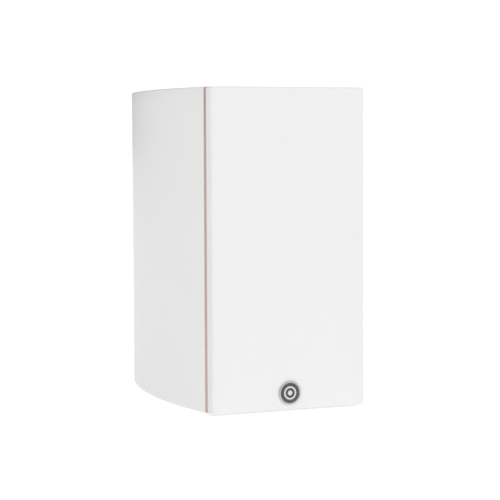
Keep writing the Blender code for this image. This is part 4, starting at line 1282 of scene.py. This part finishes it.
def bores(
    profile: Sequence[Row], places: Sequence[Row], front: float, count: int = 24
) -> list[Patch]:
    """The same turned shape along Y in several places, as for round holes.

    Args:
        profile: The shape's profile in millimetres.
        places: (x, z) of each, in metres.
        front: Y that the profile starts from.
        count: Steps round each.

    Returns:
        The shapes.
    """
    return [turned(scaled(profile), (x, front, z), count=count) for x, z in places]


def screws(prefix: str, places: Sequence[Row], front: float) -> None:
    """Cross-head screws, each standing for its own CAD node.

    Args:
        prefix: What the CAD nodes' names start with.
        places: (x, z) of each, in metres.
        front: Y of the flange's face.
    """
    for number, (x, z) in enumerate(places, 1):
        row = Turning(
            f"{prefix}_cross_screw_{number}", "screw_steel", "cabinet",
            (f"{prefix}_screw_{number}",), SCREW, 0.12, 48
        )
        row.build((x, front, z))


def ring_places(count: int, radius: float, first: float, height: float) -> list[Row]:
    """Places (x, z) of things spread round a circle.

    Args:
        count: How many.
        radius: The circle's radius.
        first: Angle of the first, in degrees.
        height: Z of the centre.

    Returns:
        The places.
    """
    angle = np.radians(first + 360 / count * np.arange(count))
    return list(zip(radius * np.cos(angle), height + radius * np.sin(angle)))


@dataclass
class Woofer:
    """The woofer: basket, motor and the parts that move."""

    centre: Row = (0.0, BAFFLE_FACE, WOOFER_Z)

    def basket(self) -> bpy.types.Object:
        """The cast basket, with six windows and four screw holes cut through.

        Returns:
            The basket.
        """
        rows = [
            (61, 0), (61, 3.5), (51.5, 3.5), (51.5, 8), (35, 32), (35, 33.2), (16, 33.2),
            (16, 31.2), (30.5, 31.2),
            (30.5, 26), (36.9, 26), (48.5, 8), (48.5, 2.2), (50.8, 2.2), (50.8, 0),
        ]
        made = make_mesh("cast_basket", [turned(eased(scaled(rows), 0.35 * MM), self.centre)])
        angle = np.radians(30 + 60 * np.arange(6))
        places = ring_places(4, WOOFER_SCREW_CIRCLE, 45, WOOFER_Z)
        cut(made, [self.window(a) for a in angle] + bores(SCREW_HOLE, places, BAFFLE_FACE))
        return made

    def window(self, angle: float) -> Patch:
        """A rounded block that passes through the basket's wall.

        A rounded rectangle is carried outwards along the radius, from 31 to 58
        mm, turned by the angle about the basket's axis.

        Args:
            angle: The window's place round the axis, in radians.

        Returns:
            The block.
        """
        grid = rounded_rectangle(13.5 * MM, 6.5 * MM, 2 * MM, 4, 2)
        reach = np.array([31.0, 58.0])[:, None] * MM
        side = grid[None, :, 0] + 0 * reach
        along = 17 * MM + grid[None, :, 1] + 0 * reach
        out = reach + 0 * side
        x = out * math.cos(angle) - side * math.sin(angle)
        z = out * math.sin(angle) + side * math.cos(angle)
        points = np.stack([x, along, z], axis=-1) + np.array(self.centre)
        return Patch(points, first_end=True, last_end=True)

    def lug(self) -> Patch:
        """The plate on the basket that holds the solder tags."""
        rows = [(4.5 * MM, 6 * MM, 0.8 * MM, a * MM) for a in (20, 22)]
        return lofted(rows, (-46.64 * MM, self.centre[1], self.centre[2]))

    def build(self) -> None:
        """Make and dress every piece of the woofer."""
        basket = self.basket()
        settle(basket, "basket_alloy", "cabinet", ["woofer_basket"])
        settle(
            make_mesh("solder_lug_plate", [self.lug()]), "basket_alloy", "cabinet",
            finish=FINISHES["faceplate_plastic"]
        )
        outer = arc((44, 1.9), 4.8, -8.39, -171.61, 28)
        inner = arc((44, 1.9), 4.1, -180, 0, 28)
        roll = [(50.5, 1.9), (50.5, 1.2), *outer, (37.8, 1.2), (37.8, 1.9), *inner]
        surround = make_mesh("rolled_surround", [turned(scaled(roll), self.centre)], 60)
        suspended(
            surround, "surround_rubber", "woofer_surround", "woofer_cone_body", self.centre,
            38.6 * MM, 49.4 * MM
        )
        step = np.linspace(0, 6, 73)
        wave = list(zip(14.6 + 15.4 * step / 6, 25.1 - 0.9 * np.cos(math.pi * step)))
        front = [(13.3, 25.1), *wave, (36.3, 25.1)]
        back = [(r, a + 0.6) for r, a in front[::-1]]
        spider = make_mesh("pleated_spider", [turned(scaled(front + back), self.centre)], 80)
        suspended(
            spider, "spider_cotton", "woofer_spider", "woofer_cone_body", self.centre, 15 * MM,
            34 * MM
        )
        t = np.linspace(0, 1, 20)
        bent = list(zip(37.2 - 23.9 * t + 1.2 * np.sin(math.pi * t), 2.2 + 18.2 * t))
        flank = [(r + 0.75, a + 0.2) for r, a in bent[::-1]]
        cone = [(39.3, 2.2), *bent, (13.3, 21.6), (14, 21.6), *flank[1:], (39.3, 2.9)]
        rows = [
            Turning(
                "pulp_cone", "cone_paper", "woofer_cone_body", ("woofer_cone",), tuple(cone), 0
            ),
            Turning(
                "dust_cap_dome", "cone_paper", "woofer_cone_body", ("woofer_dust_cap",),
                cap(16.8, 6.4, 17.135, 0.7), 0
            ),
            Turning(
                "woofer_coil_former", "winding_copper", "woofer_cone_body", ("woofer_voice_coil",),
                ((12.5, 19.4), (13, 19.4), (13, 33), (14, 33), (14, 43), (12.5, 43)), 0.1,
            ),
            Turning(
                "basket_gasket", "surround_rubber", "cabinet", ("woofer_gasket",),
                ring_profile(53, 60.5, 3.8, 4.8)
            ),
            Turning(
                "woofer_front_plate", "motor_steel", "cabinet", ("woofer_top_plate",),
                ring_profile(14.7, 36, 33.5, 38.5), 0.5
            ),
            Turning(
                "woofer_ring_magnet", "magnet_ferrite", "cabinet", ("woofer_magnet",),
                ring_profile(19, 40, 38.8, 53.8), 1.2
            ),
            Turning(
                "woofer_back_plate", "motor_steel", "cabinet", ("woofer_yoke",),
                ((4, 33.5), (12.15, 33.5), (12.15, 54.1), (36, 54.1), (36, 59.1), (4, 59.1)), 0.6,
            ),
        ]
        for row in rows:
            row.build(self.centre)
        screws("woofer", ring_places(4, WOOFER_SCREW_CIRCLE, 45, WOOFER_Z), self.centre[1])


@dataclass
class Tweeter:
    """The dome tweeter with its motor and closed rear chamber."""

    centre: Row = (0.0, BAFFLE_FACE, TWEETER_Z)

    def build(self) -> None:
        """Make and dress every piece of the tweeter."""
        face = [
            (45, 0), (36, 0), (35.6, 0.25), (34.9, 0.25), (34.5, 0), (27, 0), (24.8, 0.22),
            (22.5, 0.8), (20.8, 1.35),
            (19.6, 2), (18.7, 2.7), (18.2, 3.5), (45, 3.5),
        ]
        plate = make_mesh(
            "tweeter_front_plate", [turned(eased(scaled(face), 0.3 * MM), self.centre, count=128)]
        )
        places = ring_places(3, TWEETER_SCREW_CIRCLE, 90, TWEETER_Z)
        cut(plate, bores(SCREW_HOLE, places, BAFFLE_FACE))
        settle(plate, "faceplate_plastic", "cabinet", ["tweeter_faceplate"])
        outer = arc((15.1, 4.3), 1.9, -15.26, -180, 20)
        inner = arc((15.1, 4.3), 1.4, -180, 0, 20)
        roll = [(21, 4.3), (21, 3.8), *outer, *inner]
        surround = make_mesh("tweeter_roll", [turned(scaled(roll), self.centre)], 60)
        suspended(
            surround, "dome_silk", "tweeter_surround", "tweeter_dome_body", self.centre, 13.3 * MM,
            16.9 * MM
        )
        rows = [
            Turning(
                "silk_dome", "dome_silk", "tweeter_dome_body", ("tweeter_dome",),
                cap(12.9, 5.0, 4.2, 0.4), 0
            ),
            Turning(
                "tweeter_coil_former", "winding_copper", "tweeter_dome_body",
                ("tweeter_voice_coil",),
                ring_profile(12.3, 12.9, 4.5, 11), 0.1,
            ),
            Turning(
                "tweeter_front_pole_plate", "motor_steel", "cabinet", ("tweeter_top_plate",),
                ring_profile(13.4, 24, 4.6, 7.6), 0.4
            ),
            Turning(
                "tweeter_ring_magnet", "magnet_ferrite", "cabinet", ("tweeter_magnet",),
                ring_profile(15.5, 28, 7.9, 15.9), 0.9
            ),
            Turning(
                "tweeter_back_plate", "motor_steel", "cabinet", ("tweeter_yoke",),
                ((3, 4.6), (11.8, 4.6), (11.8, 16.2), (25, 16.2), (25, 19.7), (3, 19.7)), 0.4,
            ),
            Turning(
                "tweeter_rear_cup", "faceplate_plastic", "cabinet", ("tweeter_rear_chamber",),
                ((17.2, 20), (19, 20), (19, 34), (0, 34), (0, 32.2), (17.2, 32.2)), 0.8,
            ),
        ]
        for row in rows:
            row.build(self.centre)
        screws("tweeter", places, self.centre[1])


# ----- Terminals and crossover -----


class Polarity(Enum):
    """The two binding posts."""

    RED = ("red", -1, "knob_red")
    BLACK = ("black", 1, "knob_black")


@dataclass
class Terminals:
    """The rear terminal plate with its two binding posts."""

    centre: Row = (0.0, REAR_FACE, TERMINAL_Z)
    floor: float = -27.5 * MM

    def cup(self) -> bpy.types.Object:
        """The plate and its pocket, from the body's back to the pocket's floor.

        The plate's outer and inner edges are quarter circles.

        Returns:
            The plate.
        """
        wide, high, edge = 35.3 * MM, 48.3 * MM, 0.8 * MM
        rows = [(29 * MM, 28 * MM, 5 * MM, a * MM) for a in (-30, 0.3)]
        rows += [(wide, high, 6 * MM, a * MM) for a in (0.3, 1.5)]
        turn = np.linspace(0, math.pi / 2, 5)
        edges = list(zip(edge * (1 - np.cos(turn)), 1.5 * MM + edge * np.sin(turn)))
        rows += [(wide - i, high - i, 6 * MM - i, a) for i, a in edges[1:]]
        rows += [(27 * MM + i, 26 * MM + i, 4 * MM, a) for i, a in edges[::-1]]
        rows += [(27 * MM, 26 * MM, 4 * MM, a * MM) for a in (-10, -20, -26.5)]
        rows.append((26 * MM, 25 * MM, 3 * MM, self.floor))
        flipped = [(w, h, r, -a) for w, h, r, a in rows]
        made = make_mesh("terminal_plate", [lofted(flipped, self.centre, Axis.OUT, side=12)])
        hole = ring_profile(0, 2.7, -40, -20)
        cut(made, bores(hole, POSTS, REAR_FACE, 32))
        return made

    def marks(self) -> tuple[bpy.types.Object, bpy.types.Object]:
        """The plate's raised marks and its four corner screws.

        Returns:
            The plus and minus, and the screws.
        """
        bars = [(-1, 2.6, 0.6), (-1, 0.6, 2.6), (1, 2.6, 0.6)]
        patches = []
        for hand, wide, tall in bars:
            stations = [(wide * MM, tall * MM, 0.4 * MM, a * MM) for a in (1.5, 2.49)]
            where = (hand * POST_X, self.centre[1], self.centre[2] + 34 * MM)
            patches.append(lofted(stations, where, Axis.IN, corner=3, side=2))
        head = (
            (0, 1.4), (1.5, 1.4, 3), (1.5, 2.42, 3), (2.1, 2.49), (3.1, 2.36), (3.1, 1.0), (0, 1.0)
        )
        places = [(x * 29 * MM, TERMINAL_Z + z * 41.5 * MM) for x in (-1, 1) for z in (-1, 1)]
        heads = bores(head, places, REAR_FACE, 48)
        return make_mesh("polarity_marks", patches), make_mesh("terminal_plate_screws", heads)

    def post(self, side: Polarity) -> None:
        """Make and dress the stud, washer and knob of one post.

        Args:
            side: Which post.
        """
        name, hand, knob_slot = side.value
        centre = (hand * POST_X, self.centre[1] + self.floor, self.centre[2])
        stud = (
            (0, -18), (2.4, -18), (2.4, 0.3), (7.2, 0.3), (7.2, 4.3), (3, 4.3), (3, 24.5),
            (2.05, 24.5), (2.05, 6.5), (0, 6.5),
        )
        knob = (
            (3.3, 6.9), (6.8, 6.9), (6.8, 9.3), (6.45, 9.9), (6.7, 10.6, 2), (6.7, 23.4, 2),
            (6.2, 24.2), (5.4, 24.9), (3.3, 24.9),
        )
        rows = [
            Turning(
                f"{name}_threaded_stud", "post_metal", "cabinet", (f"{name}_post_stud",), stud, 0.2
            ),
            Turning(
                f"{name}_clamp_washer", "post_metal", f"{name}_washer", (f"{name}_post_washer",),
                ring_profile(3.3, 6.6, 4.6, 6.6), 0.3
            ),
            Turning(
                f"{name}_ribbed_knob", knob_slot, f"{name}_knob", (f"{name}_post_knob",), knob, 0.2,
                144
            ),
        ]
        for row in rows:
            row.build(centre)

    def build(self) -> None:
        """Make and dress the plate and both posts."""
        settle(self.cup(), "rear_plastic", "cabinet", ["terminal_cup"])
        marks, heads = self.marks()
        settle(marks, "rear_plastic", "cabinet", finish=BADGE_PRINT)
        settle(heads, "screw_steel", "cabinet")
        for side in Polarity:
            self.post(side)


@dataclass
class Crossover:
    """The board behind the terminals, its components and the two leads."""

    face: float = 82.05 * MM
    lead_radius: float = 1.6 * MM

    def coil(self, name: str, slot_node: str, centre: Row, sizes: Row) -> None:
        """A wound coil on its bobbin: waisted between two cheeks.

        Args:
            name: The piece's name.
            slot_node: The CAD node that it replaces.
            centre: Where its seat is.
            sizes: Cheek radius, length, core radius, cheek and winding radius, in millimetres.
        """
        cheek, length, core, thick, wound = sizes
        rows = (
            (core, 0), (cheek, 0), (cheek, thick), (wound, thick), (wound, length - thick),
            (cheek, length - thick),
            (cheek, length), (core, length),
        )
        Turning(name, "winding_copper", "cabinet", (slot_node,), rows, 0.2).build(centre, Axis.OUT)

    def lead(self, name: str, node: str, route: Sequence[Row]) -> None:
        """A round cable along a smooth curve through its route.

        The curve is a uniform cubic through the points. At each of its steps a
        circle lies square to the tangent, turned so that it never twists about
        the X axis.

        Args:
            name: The piece's name.
            node: The CAD node that it replaces.
            route: Points in metres.
        """
        places = np.array(route)
        padded = np.concatenate(
            [[2 * places[0] - places[1]], places, [2 * places[-1] - places[-2]]]
        )
        spans = len(places) - 1
        where = np.linspace(0, spans, 34)
        span = np.minimum(where.astype(int), spans - 1)
        t = (where - span)[:, None]
        a, b, c, d = (padded[span + k] for k in range(4))
        line = 0.5 * (
            2 * b + (c - a) * t + (
                2 * a - 5 * b + 4 * c - d
            ) * t**2 + (3 * b - a - 3 * c + d) * t**3
        )
        tangent = np.gradient(line, axis=0)
        tangent /= np.linalg.norm(tangent, axis=1)[:, None]
        first = np.cross(tangent, (0.35, 0.0, 1.0) if abs(tangent[0, 2]) < 0.7 else (1.0, 0.0, 0.0))
        first /= np.linalg.norm(first, axis=1)[:, None]
        second = np.cross(tangent, first)
        turn = np.linspace(0, 2 * math.pi, 16, endpoint=False)[None, :, None]
        radius = self.lead_radius * 0.985
        ring = np.cos(turn) * first[:, None] + np.sin(turn) * second[:, None]
        made = make_mesh(
            name, [Patch(line[:, None] + radius * ring, first_end=True, last_end=True)], 60
        )
        settle(made, "cable_jacket", "cabinet", [node])

    def leads(self) -> None:
        """Both leads, along the same routes as their solids."""
        board = self.face - self.lead_radius
        wall = -(PLAN.half_width(117 * MM, 10 * MM) - 8 * MM)
        front, woofer, tweeter, start = BAFFLE_FACE, WOOFER_Z, TWEETER_Z, -23 * MM
        self.lead("woofer_twin_lead", "woofer_lead", [
            (start, board, TERMINAL_Z - 2 * MM),
            (start - 6 * MM, board - 10 * MM, TERMINAL_Z - 2 * MM),
            (wall + 20 * MM, board - 26 * MM, TERMINAL_Z - 8 * MM),
            (wall, 22.45 * MM, TERMINAL_Z - 10 * MM),
            (wall, -39.55 * MM, woofer - 24 * MM),
            (wall + 6 * MM, front + 42 * MM, woofer - 12 * MM),
            (-49.64 * MM, front + 28 * MM, woofer - 1 * MM),
            (-46.64 * MM, front + 23.9 * MM, woofer),
        ])
        self.lead("tweeter_twin_lead", "tweeter_lead", [
            (start, board, TERMINAL_Z + 8.4 * MM),
            (start - 6 * MM, board - 10 * MM, TERMINAL_Z + 12 * MM),
            (wall + 20 * MM, board - 24 * MM, TERMINAL_Z + 24 * MM),
            (wall, 22.45 * MM, TERMINAL_Z + 50 * MM),
            (wall, -39.55 * MM, tweeter - 40 * MM),
            (wall + 18 * MM, front + 52 * MM, tweeter - 14 * MM),
            (-34 * MM, front + 34 * MM, tweeter - 2 * MM), (-21 * MM, front + 28 * MM, tweeter),
        ])

    def build(self) -> None:
        """Make and dress the board, its components and the leads."""
        board = lofted(
            [(27 * MM, 42 * MM, 2 * MM, a) for a in (0.0, 1.6 * MM)],
            (0, self.face + 0.3 * MM, TERMINAL_Z)
        )
        made = make_mesh("crossover_card", [board])
        hole = ring_profile(0, 2.7, -5, 5)
        cut(made, bores(hole, POSTS, self.face, 32))
        settle(made, "circuit_board", "cabinet", ["crossover_board"])
        seat = self.face
        self.coil(
            "woofer_air_coil", "woofer_inductor", (0, seat, TERMINAL_Z - 22 * MM),
            (18, 18, 7.2, 1.5, 16.5)
        )
        self.coil(
            "tweeter_air_coil", "tweeter_inductor", (-13 * MM, seat, TERMINAL_Z + 22 * MM),
            (13, 12, 5.2, 1.5, 11.8)
        )
        body = ((0, 8), (5.1, 8), (5.5, 8.6), (6, 9.4), (6, 36.6), (5.5, 37.4), (5.1, 38), (0, 38))
        Turning(
            "film_capacitor", "capacitor_film", "cabinet", ("tweeter_capacitor",), body, 0.2
        ).build(
            (8 * MM, REAR_FACE - 48.4 * MM, TERMINAL_Z), Axis.UP
        )
        block = [(4 * MM, 15 * MM, 0.8 * MM, a * MM) for a in (0, 8)]
        resistor = make_mesh(
            "cement_resistor", [lofted(block, (20 * MM, seat, TERMINAL_Z + 23 * MM), Axis.OUT)]
        )
        settle(resistor, "resistor_ceramic", "cabinet", ["tweeter_resistor"])
        self.leads()


# ----- Studio -----


@dataclass
class Studio:
    """A pale floor, soft light from all round and the camera."""

    floor_size: float = 24.0
    sky: float = 0.75
    backdrop: float = 1.06
    lean: Row = (0.10, -0.34, 0.18)
    flag: Row = (0.33, 0.944, 0.0)
    shade: float = 0.5
    glow: float = 0.45
    lamp_place: Row = (0.9, -3.4, 2.2)
    lamp_aim: Row = (0.0, 0.0, 0.15)
    lamp_size: float = 2.4
    lamp_power: float = 6.0
    lens: float = 127.4
    eye: Row = (-0.6711, -1.56065, 0.2474)
    right: Row = (0.91490, -0.40364, -0.00453)
    up: Row = (0.02983, 0.05642, 0.99796)
    back: Row = (-0.40256, -0.91317, 0.06366)

    def floor(self) -> None:
        """A very large, flat, pale floor that glows a little."""
        step = np.linspace(-self.floor_size, self.floor_size, 49)
        x, y = np.meshgrid(step, step, indexing="ij")
        made = make_mesh(
            "studio_floor",
            [Patch(np.stack([x, y, 0 * x - 0.02 * MM], axis=-1), wrap_columns=False)]
        )
        if made.data.polygons[0].normal.z < 0:
            made.data.flip_normals()
        paint = bpy.data.materials.new("pale_studio_floor")
        paint.use_nodes = True
        graph = Graph(paint.node_tree)
        grain = graph.noise(graph.place("Object"), 300.0, 3.0)
        shader = graph.node(
            "ShaderNodeBsdfPrincipled", {},
            {
                "Base Color": graph.mix(grain, (0.80, 0.80, 0.80), (0.84, 0.84, 0.84)),
                "Roughness": 0.9, "Specular IOR Level": 0.1,
                "Emission Color": (1.0, 1.0, 1.0, 1.0), "Emission Strength": self.glow,
            },
        )
        graph.node("ShaderNodeOutputMaterial", {}, {"Surface": shader})
        made.data.materials.append(paint)

    def world(self) -> None:
        """Even light from every side; the camera sees a brighter backdrop."""
        world = bpy.data.worlds.new("studio_light")
        bpy.context.scene.world = world
        world.use_nodes = True
        graph = Graph(world.node_tree)
        seen = graph.node("ShaderNodeLightPath", output="Is Camera Ray")
        way = graph.node("ShaderNodeTexCoord", output="Generated")
        settings = {"operation": "DOT_PRODUCT"}
        facing = graph.node("ShaderNodeVectorMath", settings, {0: way, 1: self.lean}, 1)
        behind = graph.node("ShaderNodeVectorMath", settings, {0: way, 1: self.flag}, 1)
        sky = self.sky * (1 + facing) - self.shade * graph.stretch(behind, 0.7, 1.0)
        strength = sky + (self.backdrop - sky) * seen
        light = graph.node(
            "ShaderNodeBackground", {}, {"Color": (1, 1, 1, 1), "Strength": strength}
        )
        graph.node("ShaderNodeOutputWorld", {}, {"Surface": light})

    def lamp(self) -> None:
        """A large square soft box in front of the speaker."""
        light = bpy.data.lights.new("front_box", "AREA")
        light.size = self.lamp_size
        light.energy = self.lamp_power
        made = bpy.data.objects.new("front_box", light)
        made.location = self.lamp_place
        way = Vector(self.lamp_aim) - Vector(self.lamp_place)
        made.rotation_euler = way.to_track_quat("-Z", "Y").to_euler()
        bpy.context.scene.collection.objects.link(made)

    def camera(self) -> None:
        """A long lens from the front left, a little above the middle."""
        lens = bpy.data.cameras.new("camera")
        lens.lens = self.lens
        lens.sensor_width = 36.0
        lens.clip_start = 0.05
        lens.clip_end = 200.0
        made = bpy.data.objects.new("camera", lens)
        turn = Matrix((self.right, self.up, self.back)).transposed()
        made.matrix_world = Matrix.Translation(self.eye) @ turn.to_4x4()
        bpy.context.scene.collection.objects.link(made)
        bpy.context.scene.camera = made

    def build(self) -> None:
        """Set the stage."""
        self.floor()
        self.world()
        self.lamp()
        self.camera()
        bpy.context.scene.view_settings.view_transform = "Standard"


def dress_the_rest() -> None:
    """Give every solid that still shows its slot's finish."""
    slots = {row["node"]: row["material_slot"] for row in frame["record"]["subparts"]}
    for name, node in frame["nodes"].items():
        if node.hide_render:
            continue
        node.data.materials.clear()
        node.data.materials.append(FINISHES[slots[name]].material())
        LOG.info("%s keeps its solid, in %s", name, slots[name])


def main() -> None:
    """Build the speaker piece by piece, then the studio."""
    logging.basicConfig(level=logging.INFO, format="%(message)s")
    for part in (Studio(), Cabinet(), Grille(), Woofer(), Tweeter(), Terminals(), Crossover()):
        LOG.info("building %s", type(part).__name__)
        part.build()
    dress_the_rest()


if __name__ == "__main__":
    main()
